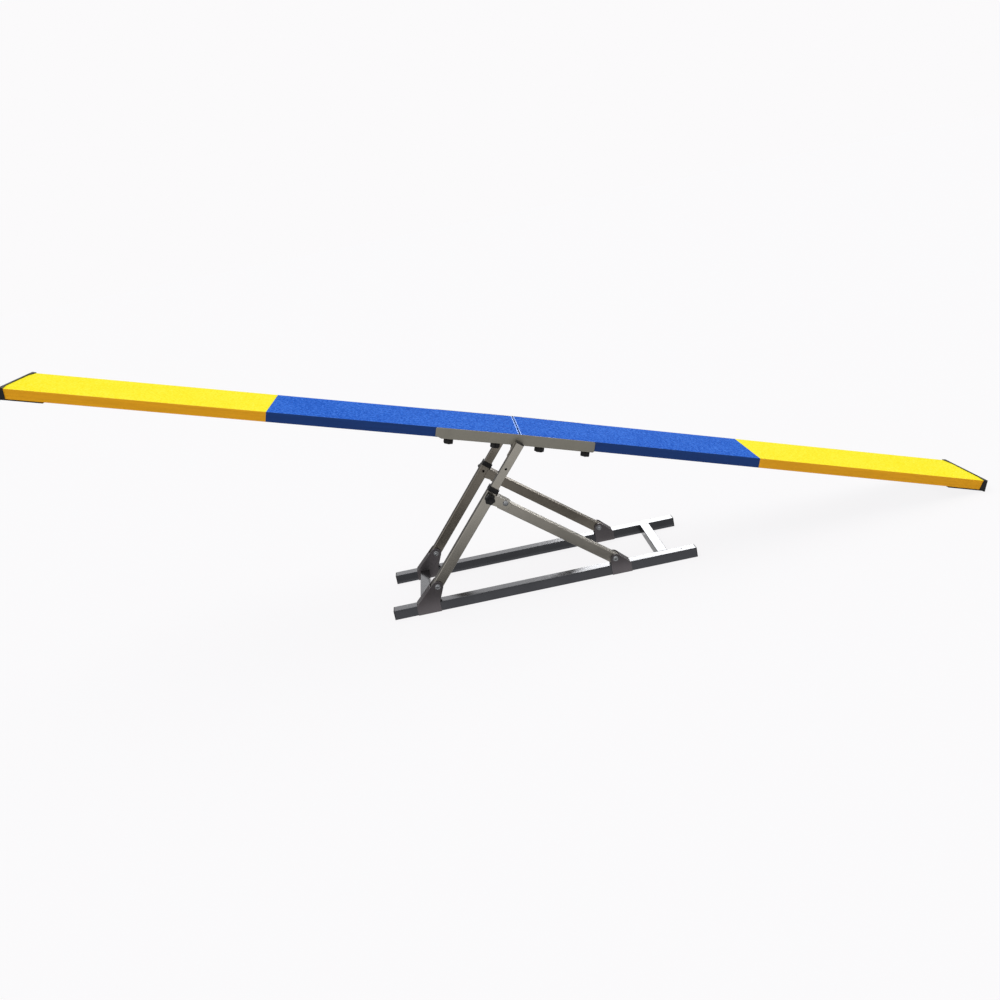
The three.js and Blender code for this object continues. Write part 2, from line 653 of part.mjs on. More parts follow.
function buildLeg({ name, sign }) {
  const group = new THREE.Group();
  group.position.set(FOOT_X, sign * LEG_Y, FOOT_BOLT_H);
  group.rotation.y = -LEG_ANGLE;
  group.add(part(`outer_leg_${name}`, outerLeg(sign), ALUMINIUM));
  group.add(part(`leg_collar_${name}`, collar(), BLACK_PLASTIC));
  group.add(part(`brace_bracket_${name}`, braceBracket(), ALUMINIUM));
  group.add(part(`inner_leg_${name}`, innerLeg(sign), ALUMINIUM));
  const plug = tubePlug(INNER_TUBE, INNER_TUBE, INNER_WALL, INNER_R, PLUG_T);
  plug.translate(AXLE_S + INNER_PAST_AXLE + SEAT, 0, 0);
  group.add(part(`inner_leg_plug_${name}`, plug, BLACK_PLASTIC));
  group.add(part(`axle_plate_${name}`, axlePlate(sign), ALUMINIUM));
  const studRoom = BOSS_T + SEAT + (TUBE - INNER_TUBE) / 2 - SEAT;
  const lock = part(`lock_knob_${name}`, knob(LOCK_KNOB_D, LOCK_STUD_D, studRoom), BLACK_PLASTIC);
  lock.position.set(LOCK_S, sign * (TUBE / 2 + BOSS_T + SEAT), 0);
  lock.rotation.x = (sign * Math.PI) / 2;
  group.add(lock);
  return group;
}

// Braces. x runs down the brace from the top bolt, whose hole lies above the centre line.

const BRACE_TOP_X = FOOT_X + BRACE_TOP_S * Math.cos(LEG_ANGLE) + BRACE_TOP_N * Math.sin(LEG_ANGLE);
const BRACE_TOP_Z = FOOT_BOLT_H + BRACE_TOP_S * Math.sin(LEG_ANGLE) - BRACE_TOP_N * Math.cos(LEG_ANGLE);
const BRACE_FOOT_X = FOOT_X + BRACE_SPREAD;
const BRACE_L = Math.hypot(BRACE_FOOT_X - BRACE_TOP_X, BRACE_TOP_Z - BRACE_FOOT_H);
const BRACE_SKEW = Math.asin((BRACE_TOP_DROP - BRACE_FOOT_DROP) / BRACE_L);
const BRACE_ANGLE = Math.atan2(BRACE_TOP_Z - BRACE_FOOT_H, BRACE_FOOT_X - BRACE_TOP_X) - BRACE_SKEW;

function buildBrace({ name, sign }) {
  const group = new THREE.Group();
  group.position.set(BRACE_TOP_X, sign * LEG_Y, BRACE_TOP_Z);
  group.rotation.y = BRACE_ANGLE;
  const tube = alongX(tubeSection(TUBE, TUBE, TUBE_WALL, TUBE_R), -BRACE_HEAD, BRACE_L + BRACE_TAIL);
  tube.translate(0, 0, -BRACE_TOP_DROP);
  const through = TUBE / 2 + OVERRUN;
  const holes = [[0, 0], [BRACE_L * Math.cos(BRACE_SKEW), BRACE_FOOT_DROP - BRACE_TOP_DROP]]
    .map(([x, z]) => barY(BOLT_D + 2 * BORE_CLEAR, x, z, -through, through));
  group.add(part(`brace_${name}`, cut(tube, holes), ALUMINIUM));
  const grip = TUBE / 2 + SEAT + PLATE_T + SEAT;
  group.add(part(`brace_top_bolt_${name}`, bolt(grip, sign), BRIGHT_STEEL));
  return group;
}

// Base frame

const RAIL_START = FOOT_X - RAIL_TAIL;
const PLATE_INNER = RAIL_W / 2 + SEAT;
const PLATE_OUTER = PLATE_INNER + PLATE_T;

// A strip under an ear's slope, which runs from its foot at x and y up to the ear's round. The
// strip starts above the rail, at base, and stops at end.
function slopeWeb(x, y, radius, turn, base, end) {
  const touch = touchAngle(x, y, radius, turn);
  const normal = new THREE.Vector2(Math.cos(touch), Math.sin(touch));
  const outer = new THREE.Vector2(x, y);
  const inner = outer.clone().addScaledVector(normal, -WEB_T);
  const along = normal.clone().multiplyScalar(radius).sub(outer).normalize();
  const place = (start, reach) => start.clone().addScaledVector(along, reach);
  const reach = (end - x) / along.x;
  return alongY(new THREE.Shape([
    place(outer, (base - outer.y) / along.y),
    place(outer, reach),
    place(inner, reach),
    place(inner, (base - inner.y) / along.y),
  ]), -PLATE_OUTER, PLATE_OUTER);
}

// Two ears on either side of the rail, joined by a web; x = z = 0 at the bolt
function railBracket(ear, web) {
  const plates = [alongY(ear, PLATE_INNER, PLATE_OUTER), alongY(ear, -PLATE_OUTER, -PLATE_INNER)];
  const bore = barY(BOLT_D + 2 * BORE_CLEAR, 0, 0, -PLATE_OUTER - OVERRUN, PLATE_OUTER + OVERRUN);
  return cut(join([...plates, web]), [bore]);
}

function footBracket() {
  const drop = FOOT_BOLT_H - RAIL_H;
  const ear = earOutline(FOOT_EAR_BACK, FOOT_EAR_FRONT, drop, FOOT_BOLT_H - BRACKET_LIFT, FOOT_EAR_R);
  const legCorner = OUTER_LEG_TAIL * Math.cos(LEG_ANGLE) + (TUBE / 2) * Math.sin(LEG_ANGLE);
  return railBracket(ear,
    slopeWeb(-FOOT_EAR_BACK, -drop, FOOT_EAR_R, -1, SEAT - drop, -legCorner - WEB_CLEAR));
}

function braceFootBracket() {
  const drop = BRACE_FOOT_H - RAIL_H;
  const ear = earOutline(BRACE_EAR_BACK, BRACE_EAR_FRONT, drop + BRACE_EAR_STEP,
    BRACE_FOOT_H - BRACKET_LIFT, BRACE_EAR_R);
  const braceCorner = BRACE_TAIL * Math.cos(BRACE_ANGLE)
    + (TUBE / 2 - BRACE_FOOT_DROP) * Math.sin(BRACE_ANGLE);
  return railBracket(ear, slopeWeb(BRACE_EAR_FRONT, -drop - BRACE_EAR_STEP, BRACE_EAR_R, 1,
    SEAT - drop, braceCorner + WEB_CLEAR));
}

function buildBase() {
  const group = new THREE.Group();
  const railEnd = RAIL_START + RAIL_L;
  for (const { name, sign } of SIDES) {
    const y = sign * LEG_Y;
    const rail = alongX(tubeSection(RAIL_W, RAIL_H, TUBE_WALL, TUBE_R), RAIL_START, railEnd);
    group.add(part(`rail_${name}`, rail.translate(0, y, RAIL_H / 2), RAIL_METAL));
    for (const end of ENDS) {
      const cap = tubePlug(RAIL_W, RAIL_H, TUBE_WALL, TUBE_R, RAIL_CAP_T);
      cap.translate(SEAT, 0, 0);
      const mesh = part(`rail_cap_${name}_${end.name}`, cap, BLACK_PLASTIC);
      mesh.position.set(end.sign < 0 ? RAIL_START : railEnd, y, RAIL_H / 2);
      mesh.rotation.z = end.sign < 0 ? Math.PI : 0;
      group.add(mesh);
    }
    const legBase = footBracket().translate(FOOT_X, y, FOOT_BOLT_H);
    group.add(part(`foot_bracket_${name}`, legBase, RAIL_METAL));
    const braceBase = braceFootBracket().translate(BRACE_FOOT_X, y, BRACE_FOOT_H);
    group.add(part(`brace_foot_bracket_${name}`, braceBase, RAIL_METAL));
    const grip = PLATE_OUTER + SEAT;
    const footBolt = part(`foot_bolt_${name}`, bolt(grip, sign), BRIGHT_STEEL);
    footBolt.position.set(FOOT_X, y, FOOT_BOLT_H);
    const braceBolt = part(`brace_foot_bolt_${name}`, bolt(grip, sign), BRIGHT_STEEL);
    braceBolt.position.set(BRACE_FOOT_X, y, BRACE_FOOT_H);
    group.add(footBolt, braceBolt);
  }
  for (const { name, sign } of ENDS) {
    const x = sign < 0 ? RAIL_START + CROSSBAR_INSET : railEnd - CROSSBAR_INSET;
    // The left bar meets the foot brackets' inner plates, the right one the rails themselves
    const reach = LEG_Y - (sign < 0 ? PLATE_OUTER : RAIL_W / 2) - SEAT;
    const shape = tubeSection(RAIL_H, RAIL_H, TUBE_WALL, TUBE_R);
    const bar = alongX(shape, -reach, reach).rotateZ(Math.PI / 2).translate(x, 0, RAIL_H / 2);
    group.add(part(`crossbar_${name}`, bar, RAIL_METAL));
  }
  return group;
}

const seesaw = new THREE.Group();
seesaw.add(buildBase(), ...SIDES.map(buildLeg), ...SIDES.map(buildBrace), buildPlank());

export default seesaw;
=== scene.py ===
"""An agility seesaw's looks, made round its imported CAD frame.

The decks, knobs, bolts and axle are surfaces worked out with numpy. The metal tubes, plates and
plastic caps are the CAD solids with their edges eased. Lengths are in metres.
"""

import json
import math

import bmesh
import bpy
import numpy as np
from bpy.props import FloatProperty, FloatVectorProperty, IntProperty, PointerProperty
from mathutils import Matrix, Vector

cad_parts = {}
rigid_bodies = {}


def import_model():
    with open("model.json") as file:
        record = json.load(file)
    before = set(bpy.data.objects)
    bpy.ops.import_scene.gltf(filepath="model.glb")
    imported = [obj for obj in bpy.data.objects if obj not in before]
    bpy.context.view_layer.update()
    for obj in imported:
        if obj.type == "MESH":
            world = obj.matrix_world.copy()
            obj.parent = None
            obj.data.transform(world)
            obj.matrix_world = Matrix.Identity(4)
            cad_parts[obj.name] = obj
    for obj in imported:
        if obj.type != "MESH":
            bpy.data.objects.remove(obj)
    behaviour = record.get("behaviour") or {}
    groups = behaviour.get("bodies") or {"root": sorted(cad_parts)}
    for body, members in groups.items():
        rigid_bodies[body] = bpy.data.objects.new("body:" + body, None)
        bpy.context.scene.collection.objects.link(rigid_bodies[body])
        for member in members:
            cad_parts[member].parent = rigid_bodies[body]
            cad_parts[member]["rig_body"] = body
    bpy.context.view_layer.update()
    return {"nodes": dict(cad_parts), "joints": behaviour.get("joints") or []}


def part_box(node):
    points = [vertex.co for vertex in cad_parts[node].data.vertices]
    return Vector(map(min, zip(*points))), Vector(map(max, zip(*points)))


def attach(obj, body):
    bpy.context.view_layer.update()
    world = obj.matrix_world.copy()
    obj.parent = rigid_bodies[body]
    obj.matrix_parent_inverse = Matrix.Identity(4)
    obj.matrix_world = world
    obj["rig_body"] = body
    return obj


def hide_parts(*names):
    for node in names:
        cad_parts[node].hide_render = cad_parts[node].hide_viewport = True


bl_info = {
    "name": "Agility seesaw",
    "version": (1, 0, 0),
    "blender": (4, 5, 0),
    "location": "View3D > Sidebar > Seesaw",
    "description": "Dresses the frame of an agility seesaw in its coats, metals and plastics",
    "category": "Object",
}

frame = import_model()
JOINTS = {joint["name"]: joint for joint in frame["joints"]}

MM = 0.001

# The plank, measured from its seam and from the axle, square to the tray
AXLE = Vector(JOINTS["plank_tilt"]["pos_m"])
TRAY_NORMAL = Vector(JOINTS["clamp_front_1_turn"]["axis"]).normalized()
TRAY_SLOPE = math.atan2(TRAY_NORMAL.x, TRAY_NORMAL.z)
TRAY_EASE = 1.1 * MM
SEAM_OFFSET = 13 * MM  # from the axle, along the plank
SINK = math.tan(math.radians(0.32))  # how much lower each half gets for each metre outwards
PLANK_W = 305 * MM
PLANK_UNDER = 24.3 * MM
PLANK_TOP = 60.3 * MM
BOARD_START = 6.8 * MM
BOARD_END = 1823.7 * MM
CONTACT_START = 916 * MM
COAT_GAP = 0.15 * MM  # how far each coat stays from the line between blue and yellow
COAT_TOP_T = 2.5 * MM
COAT_SIDE_T = 1 * MM
COAT_EDGE_R = 1.6 * MM
COAT_FADE = 4 * MM  # the lumps die out over this at a coat's ends
SIDE_STEPS = 5  # points up a coat's side
CORNER_STEPS = 5  # points round its upper edge
END_CAP_EASE = 0.8 * MM
PAD_L = 140 * MM
PAD_W = 290 * MM
PAD_UNDER = 18 * MM
PAD_TOP = 24 * MM
PAD_SECTIONS = 8
RIB_PITCH = 10 * MM
RIB_DEPTH = 1.2 * MM
RIB_STEPS = 8  # points across a rib and its groove

# The stand
LEG_DIRECTION = Vector(JOINTS["height"]["axis"]).normalized()
LEG_SLOPE = -math.atan2(LEG_DIRECTION.z, LEG_DIRECTION.x)  # below 0: it rises towards +X
BRACE_SLOPE = math.radians(38.9)
LEG_Y = 175.8 * MM
AXLE_R = 8 * MM
AXLE_REACH = 165.8 * MM  # half its length
AXLE_STEPS = 64  # points round it and its rings
RING_R = 14 * MM
RING_BORE_R = 8.3 * MM
RAIL_GRIP = 25.6 * MM  # half of what a bolt at a rail clamps
LEG_GRIP = 23.6 * MM  # half of what the bolt at a brace's top clamps
BOLT_STEPS = 48
RAIL_TOP = 38 * MM
SCREW_IN = 52 * MM  # cap screw, in from the rail's end
SCREW_STEPS = 24

# The knobs
HUB_R = 10 * MM
HUB_L = 7 * MM
HEAD_L = 18 * MM
LOBE_DEPTH = 3 * MM
LOBE_STEPS = 16  # points round each lobe
CLAMP_STUD = (4 * MM, 12.3 * MM)  # radius and length
LOCK_STUD = (5 * MM, 12 * MM)
THREAD_PITCH = 1.25 * MM
THREAD_STEPS = 24
CLAMP_TURNS = (8, 40, 22, 51)  # degrees that each clamp knob happens to stand turned
LOCK_TURN = 30  # degrees, for both lock knobs
LOCK_ALONG = 398 * MM  # lock knob, up the leg from the foot bolt
LOCK_OUT = 27.3 * MM  # its hub's face, out from the leg's middle

# Edges
MERGE_WITHIN = 0.002 * MM  # a solid's corners this close together are one
FLAT_WITHIN = math.radians(0.05)  # its faces that differ by less than this are one
EASED_FROM = math.radians(40)  # its edges that turn by more than this are rounded
LONG_EDGE = 100 * MM  # a tube's corners are longer than this
CRISP_FROM = math.radians(50)  # shading breaks where a new piece turns by more than this

# The stage
BACKDROP = "#FBFAFB"
FLOOR_REACH = 40  # from the middle to each edge
FLOOR_LINES = 9  # of its grid, each way
FLOOR_DROP = 0.5 * MM

SIDES = {"front": -1, "rear": 1}
ENDS = {"left": -1, "right": 1}


# Meshes


def ring_angles(count):
    """Evenly spaced angles round a circle, from 0."""
    return np.linspace(0, 2 * np.pi, count, endpoint=False)


def grid_quads(rows, cols, close_rows=False, close_cols=False):
    """Faces of a grid whose points are numbered row by row: each one joins point (r, c) to the
    next in its row, that one's neighbour in the next row, and back."""
    r, c = np.meshgrid(
        np.arange(rows if close_rows else rows - 1),
        np.arange(cols if close_cols else cols - 1),
        indexing="ij",
    )
    r_next, c_next = (r + 1) % rows, (c + 1) % cols
    corners = [r * cols + c, r * cols + c_next, r_next * cols + c_next, r_next * cols + c]
    return np.stack(corners, -1).reshape(-1, 4)


def turned(rows, count):
    """A closed turned form. Point (i, j) is (r_i(t_j) cos t_j, r_i(t_j) sin t_j, z_i), where row
    i gives r_i as a number or as one radius for each angle t_j, and both ends close at the axis."""
    t = ring_angles(count)
    radii = np.array([np.broadcast_to(r, t.shape) for r, _ in rows])
    z = np.array([[height] for _, height in rows])
    points = np.stack(
        [radii * np.cos(t), radii * np.sin(t), np.broadcast_to(z, radii.shape)], -1
    ).reshape(-1, 3)
    poles = [[0, 0, rows[0][1]], [0, 0, rows[-1][1]]]
    first = len(points)
    j = np.arange(count)
    j_next = (j + 1) % count
    last_row = (len(rows) - 1) * count
    start = np.stack([np.full(count, first), j_next, j], -1)
    end = np.stack([np.full(count, first + 1), last_row + j, last_row + j_next], -1)
    faces = grid_quads(len(rows), count, close_cols=True).tolist()
    return np.vstack([points, poles]), faces + start.tolist() + end.tolist()


def turned_ring(loop, count):
    """A closed ring: each point (r, z) of the loop is carried round the axis, to
    (r cos t, r sin t, z)."""
    t = ring_angles(count)
    r, z = np.array(loop).T[:, :, None]
    points = np.stack([r * np.cos(t), r * np.sin(t), z + 0 * t], -1)
    return points.reshape(-1, 3), grid_quads(len(loop), count, True, True).tolist()


def hexagon(across_flats, count):
    """The radius of a hexagon at each of count angles: half its width across flats over the
    cosine of the angle from the nearest flat's middle."""
    turn = np.mod(ring_angles(count), np.pi / 3) - np.pi / 6
    return across_flats / 2 / np.cos(turn)


def lobed(radius, depth, lobes, count):
    """A radius that falls by depth between lobes: radius - depth (1 - cos(lobes t)) / 2."""
    return radius - depth * (1 - np.cos(lobes * ring_angles(count))) / 2


def gathered(shells):
    """Several (points, faces) as one."""
    points, faces, first = [], [], 0
    for shell_points, shell_faces in shells:
        points.append(shell_points)
        faces += [[first + i for i in face] for face in shell_faces]
        first += len(shell_points)
    return np.vstack(points), faces


def placed(points, matrix):
    """Points turned and moved by a matrix."""
    turn = np.array(matrix.to_3x3())
    return points @ turn.T + np.array(matrix.translation)


def standing(origin, direction, degrees=0):
    """The matrix that turns by degrees about z, and then puts z along direction and 0 at origin."""
    lean = Vector(direction).to_track_quat("Z", "Y").to_matrix().to_4x4()
    spin = Matrix.Rotation(math.radians(degrees), 4, "Z")
    return Matrix.Translation(Vector(origin)) @ lean @ spin


def on_plank(points):
    """Places on the plank as places in the scene. x runs outwards from the seam: z falls by |x|
    times SINK, x gains SEAM_OFFSET, and then x and z turn with the tray about the axle."""
    x, y, z = points.T
    z = z - np.abs(x) * SINK
    x = x + SEAM_OFFSET
    c, s = TRAY_NORMAL.z, TRAY_NORMAL.x
    return np.stack([AXLE.x + x * c + z * s, y, AXLE.z - x * s + z * c], -1)


def plank_form(sign, x, y, z):
    """A closed form on one half of the plank, from grids of its places: each row is a section
    round x, the rows are joined along x, and a face closes either end. Those two come last."""
    rows, cols = x.shape
    points = on_plank(np.stack([sign * x, y, z], -1).reshape(-1, 3))
    ends = [list(range(cols)), list(range((rows - 1) * cols, rows * cols))]
    return points, grid_quads(rows, cols, close_cols=True).tolist() + ends


def new_piece(name, points, faces, materials):
    """A smoothly shaded object at the origin, its faces outwards."""
    mesh = bpy.data.meshes.new(name)
    mesh.from_pydata(np.asarray(points, float).tolist(), [], faces)
    mesh.validate()
    mesh.polygons.foreach_set("use_smooth", [True] * len(mesh.polygons))
    for material in materials:
        mesh.materials.append(material)
    piece = bpy.data.objects.new(name, mesh)
    bpy.context.scene.collection.objects.link(piece)
    outwards(mesh)
    return piece


def outwards(mesh):
    """Turns each closed shell's faces outwards."""
    work = bmesh.new()
    work.from_mesh(mesh)
    bmesh.ops.recalc_face_normals(work, faces=work.faces)
    work.to_mesh(mesh)
    work.free()


def crisp_edges(piece):
    """Breaks the smooth shading where the piece turns by more than CRISP_FROM."""
    piece.data.set_sharp_from_angle(angle=CRISP_FROM)


def stands_for(piece, node):
    """The piece takes a CAD node's place and body, and the node is hidden."""
    body = frame["nodes"][node]["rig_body"]
    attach(piece, body)
    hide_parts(node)
    return piece


def fitted(node, ending, form, place, material):
    """A closed form, moved to its place, that stands for a CAD node."""
    points, faces = form
    piece = new_piece(f"{node}_{ending}", placed(points, place), faces, [material])
    return stands_for(piece, node)


def bolt_middle(node, sign):
    """The middle of a bolt's box, but level with the middle of the legs across y."""
    low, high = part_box(node)
    return Vector(((low.x + high.x) / 2, sign * LEG_Y, (low.z + high.z) / 2))


def eased_piece(node, material, ease, corner=None, segments=2):
    """A CAD solid with its sharp edges rounded: corners merged, flat faces made whole and divided
    into triangles again, and a bevel of the given width along each edge that turns by more than
    EASED_FROM. Where corner is given, it is the width along a tube's long corners."""
    corner = corner or ease
    work = bmesh.new()
    work.from_mesh(frame["nodes"][node].data)
    bmesh.ops.remove_doubles(work, verts=work.verts, dist=MERGE_WITHIN)
    bmesh.ops.dissolve_limit(work, angle_limit=FLAT_WITHIN, verts=work.verts, edges=work.edges)
    bmesh.ops.triangulate(work, faces=work.faces)
    weights = work.edges.layers.float.new("bevel_weight_edge")
    for edge in work.edges:
        if edge.calc_face_angle(0) > EASED_FROM:
            is_corner = edge.is_convex and edge.calc_length() > LONG_EDGE
            edge[weights] = 1.0 if is_corner else ease / corner
    for face in work.faces:
        face.smooth = True
    mesh = bpy.data.meshes.new(f"{node}_finished")
    work.to_mesh(mesh)
    work.free()
    mesh.materials.append(material)
    piece = bpy.data.objects.new(mesh.name, mesh)
    bpy.context.scene.collection.objects.link(piece)
    bevel = piece.modifiers.new("eased edges", "BEVEL")
    bevel.width = corner
    bevel.segments = segments
    bevel.limit_method = "WEIGHT"
    bevel.use_clamp_overlap = False
    bevel.miter_outer = "MITER_ARC"
    flats = piece.modifiers.new("flat faces", "WEIGHTED_NORMAL")
    flats.keep_sharp = True
    return stands_for(piece, node)


# Materials


def linear(code):
    """An sRGB hex colour as linear red, green, blue and alpha."""
    parts = [int(code[i : i + 2], 16) / 255 for i in (1, 3, 5)]
    return [p / 12.92 if p <= 0.04045 else ((p + 0.055) / 1.055) ** 2.4 for p in parts] + [1.0]


def add(tree, kind, inputs=None, **settings):
    """Adds a node. An input's value is a number, a colour or the socket that feeds it."""
    node = tree.nodes.new(kind)
    for key, value in settings.items():
        setattr(node, key, value)
    for key, value in (inputs or {}).items():
        if isinstance(value, bpy.types.NodeSocket):
            tree.links.new(value, node.inputs[key])
        else:
            node.inputs[key].default_value = value
    return node


def new_material(name, sockets):
    """A material with its shader's own sockets set, and its object coordinates."""
    material = bpy.data.materials.new(name)
    material.use_nodes = True
    tree = material.node_tree
    tree.nodes.clear()
    shader = add(tree, "ShaderNodeBsdfPrincipled", sockets)
    add(tree, "ShaderNodeOutputMaterial", {"Surface": shader.outputs["BSDF"]})
    places = add(tree, "ShaderNodeTexCoord").outputs["Object"]
    return material, tree, shader, places


def shade(colour, factor):
    """A colour times a factor, with no part of it over 1."""
    return [*(min(1.0, c * factor) for c in colour[:3]), 1.0]


def granular_rubber(name, colour, dark, light):
    """Coloured rubber granules bonded to the plank: matt, with a pebbled skin. Single granules
    are about 2.4 mm. Their mottling is drawn 8 mm wide, because the real one is too fine to
    show from where the whole seesaw is in view. The tone also drifts over about 200 mm."""
    granule, mottle, drift = 2.4 * MM, 8 * MM, 200 * MM
    material, tree, shader, places = new_material(
        name, {"Roughness": 0.8, "Specular IOR Level": 0.015, "IOR": 1.5}
    )
    granules = add(
        tree, "ShaderNodeTexVoronoi", {"Vector": places, "Scale": 1 / granule, "Randomness": 1.0}
    )
    lightness = add(tree, "ShaderNodeSeparateColor", {"Color": granules.outputs["Color"]})
    mottles = add(
        tree,
        "ShaderNodeTexNoise",
        {"Vector": places, "Scale": 1 / mottle, "Detail": 2.0, "Roughness": 0.6},
    )
    drifts = add(tree, "ShaderNodeTexNoise", {"Vector": places, "Scale": 1 / drift, "Detail": 2.0})
    # Each layer swings the tone about the middle of the ramp, the mottles most
    tone = 0.5
    for layer, swing in (
        (mottles.outputs["Fac"], 4.2),
        (lightness.outputs["Red"], 0.7),
        (drifts.outputs["Fac"], 0.6),
    ):
        centred = add(tree, "ShaderNodeMath", {0: layer, 1: 0.5}, operation="SUBTRACT")
        tone = add(
            tree,
            "ShaderNodeMath",
            {0: centred.outputs[0], 1: swing, 2: tone},
            operation="MULTIPLY_ADD",
        ).outputs[0]
    ramp = add(tree, "ShaderNodeValToRGB", {"Fac": tone})
    stops = ramp.color_ramp.elements
    stops[0].position, stops[0].color = 0.0, linear(dark)
    stops[1].position, stops[1].color = 1.0, linear(light)
    middle = stops.new(0.5)
    middle.color = colour
    tree.links.new(ramp.outputs["Color"], shader.inputs["Base Color"])
    fine = add(
        tree,
        "ShaderNodeBump",
        {"Height": granules.outputs["Distance"], "Strength": 0.5, "Distance": 0.6 * MM},
        invert=True,
    )
    coarse = add(
        tree,
        "ShaderNodeBump",
        {
            "Height": mottles.outputs["Fac"],
            "Strength": 0.4,
            "Distance": 0.8 * MM,
            "Normal": fine.outputs["Normal"],
        },
    )
    tree.links.new(coarse.outputs["Normal"], shader.inputs["Normal"])
    return material


def painted_edge_and_shade(name, colour):
    """The plank's side under a thin coat: smoother than the top, and a deeper tone of its colour,
    which is partly the paint's own and partly painted shade, with faint roller marks along it, about
    200 mm long and 7 mm wide."""
    mark_l, mark_w = 1 / 5, 1 / 150
    material, tree, shader, places = new_material(
        name, {"Roughness": 0.55, "Specular IOR Level": 0.12}
    )
    along = add(
        tree,
        "ShaderNodeMapping",
        {"Vector": places, "Rotation": (0, TRAY_SLOPE, 0), "Scale": (mark_l, mark_w, mark_w)},
        vector_type="TEXTURE",
    )
    marks = add(
        tree, "ShaderNodeTexNoise", {"Vector": along.outputs["Vector"], "Scale": 1.0, "Detail": 3.0}
    )
    ramp = add(tree, "ShaderNodeValToRGB", {"Fac": marks.outputs["Fac"]})
    stops = ramp.color_ramp.elements
    stops[0].position, stops[0].color = 0.3, shade(colour, 0.93)
    stops[1].position, stops[1].color = 0.7, shade(colour, 1.07)
    tree.links.new(ramp.outputs["Color"], shader.inputs["Base Color"])
    bump = add(
        tree,
        "ShaderNodeBump",
        {"Height": marks.outputs["Fac"], "Strength": 0.15, "Distance": 0.2 * MM},
    )
    tree.links.new(bump.outputs["Normal"], shader.inputs["Normal"])
    return material


def anodised_aluminium(name, colour, slope, roughness):
    """Extruded tube and plate, etched and anodised: satin, with die lines along its length, about
    0.8 mm apart and 250 mm long, and slow cloudy changes of tone, about 110 mm across. slope is
    how far its length dips from +X."""
    line_l, line_w, cloud = 1 / 4, 1 / 1200, 1 / 9
    scuffing = 0.16
    material, tree, shader, places = new_material(name, {"Metallic": 1.0})
    along = add(
        tree,
        "ShaderNodeMapping",
        {"Vector": places, "Rotation": (0, slope, 0), "Scale": (line_l, line_w, line_w)},
        vector_type="TEXTURE",
    )
    lines = add(
        tree, "ShaderNodeTexNoise", {"Vector": along.outputs["Vector"], "Scale": 1.0, "Detail": 2.0}
    )
    clouds = add(
        tree,
        "ShaderNodeTexNoise",
        {"Vector": places, "Scale": 1 / cloud, "Detail": 4.0, "Roughness": 0.6},
    )
    ramp = add(tree, "ShaderNodeValToRGB", {"Fac": clouds.outputs["Fac"]})
    stops = ramp.color_ramp.elements
    stops[0].position, stops[0].color = 0.3, shade(colour, 0.9)
    stops[1].position, stops[1].color = 0.72, shade(colour, 1.1)
    tree.links.new(ramp.outputs["Color"], shader.inputs["Base Color"])
    scuffs = add(
        tree,
        "ShaderNodeMath",
        {0: clouds.outputs["Fac"], 1: scuffing, 2: roughness - scuffing / 2},
        operation="MULTIPLY_ADD",
    )
    with_lines = add(
        tree,
        "ShaderNodeMath",
        {0: lines.outputs["Fac"], 1: 0.04, 2: scuffs.outputs[0]},
        operation="MULTIPLY_ADD",
    )
    tree.links.new(with_lines.outputs[0], shader.inputs["Roughness"])
    bump = add(
        tree,
        "ShaderNodeBump",
        {"Height": lines.outputs["Fac"], "Strength": 0.05, "Distance": 0.08 * MM},
    )
    tree.links.new(bump.outputs["Normal"], shader.inputs["Normal"])
    return material


def plated_steel(name, colour):
    """Zinc-plated bolts and axle: bright, with patches of tarnish about 6 mm wide, where it is
    darker and changes in gloss."""
    patch = 6 * MM
    material, tree, shader, places = new_material(name, {"Metallic": 1.0})
    tarnish = add(tree, "ShaderNodeTexNoise", {"Vector": places, "Scale": 1 / patch, "Detail": 4.0})
    ramp = add(tree, "ShaderNodeValToRGB", {"Fac": tarnish.outputs["Fac"]})
    stops = ramp.color_ramp.elements
    stops[0].position, stops[0].color = 0.35, shade(colour, 0.82)
    stops[1].position, stops[1].color = 0.65, shade(colour, 1.05)
    tree.links.new(ramp.outputs["Color"], shader.inputs["Base Color"])
    rough = add(
        tree,
        "ShaderNodeMath",
        {0: tarnish.outputs["Fac"], 1: 0.18, 2: 0.16},
        operation="MULTIPLY_ADD",
    )
    tree.links.new(rough.outputs[0], shader.inputs["Roughness"])
    return material


def moulded_plastic(name, colour, roughness, grain):
    """Black moulded nylon or rubber: a fine spark-eroded grain, with patches about 17 mm wide that
    wear has made paler and rougher."""
    patch = 1 / 60
    wearing = 0.2
    material, tree, shader, places = new_material(name, {"Specular IOR Level": 0.22, "IOR": 1.5})
    pits = add(tree, "ShaderNodeTexNoise", {"Vector": places, "Scale": 1 / grain, "Detail": 3.0})
    wear = add(tree, "ShaderNodeTexNoise", {"Vector": places, "Scale": 1 / patch, "Detail": 4.0})
    ramp = add(tree, "ShaderNodeValToRGB", {"Fac": wear.outputs["Fac"]})
    stops = ramp.color_ramp.elements
    stops[0].position, stops[0].color = 0.4, shade(colour, 0.85)
    stops[1].position, stops[1].color = 0.75, shade(colour, 1.7)
    tree.links.new(ramp.outputs["Color"], shader.inputs["Base Color"])
    rough = add(
        tree,
        "ShaderNodeMath",
        {0: wear.outputs["Fac"], 1: wearing, 2: roughness - wearing / 2},
        operation="MULTIPLY_ADD",
    )
    tree.links.new(rough.outputs[0], shader.inputs["Roughness"])
    bump = add(
        tree,
        "ShaderNodeBump",
        {"Height": pits.outputs["Fac"], "Strength": 0.3, "Distance": 0.1 * MM},
    )
    tree.links.new(bump.outputs["Normal"], shader.inputs["Normal"])
    return material


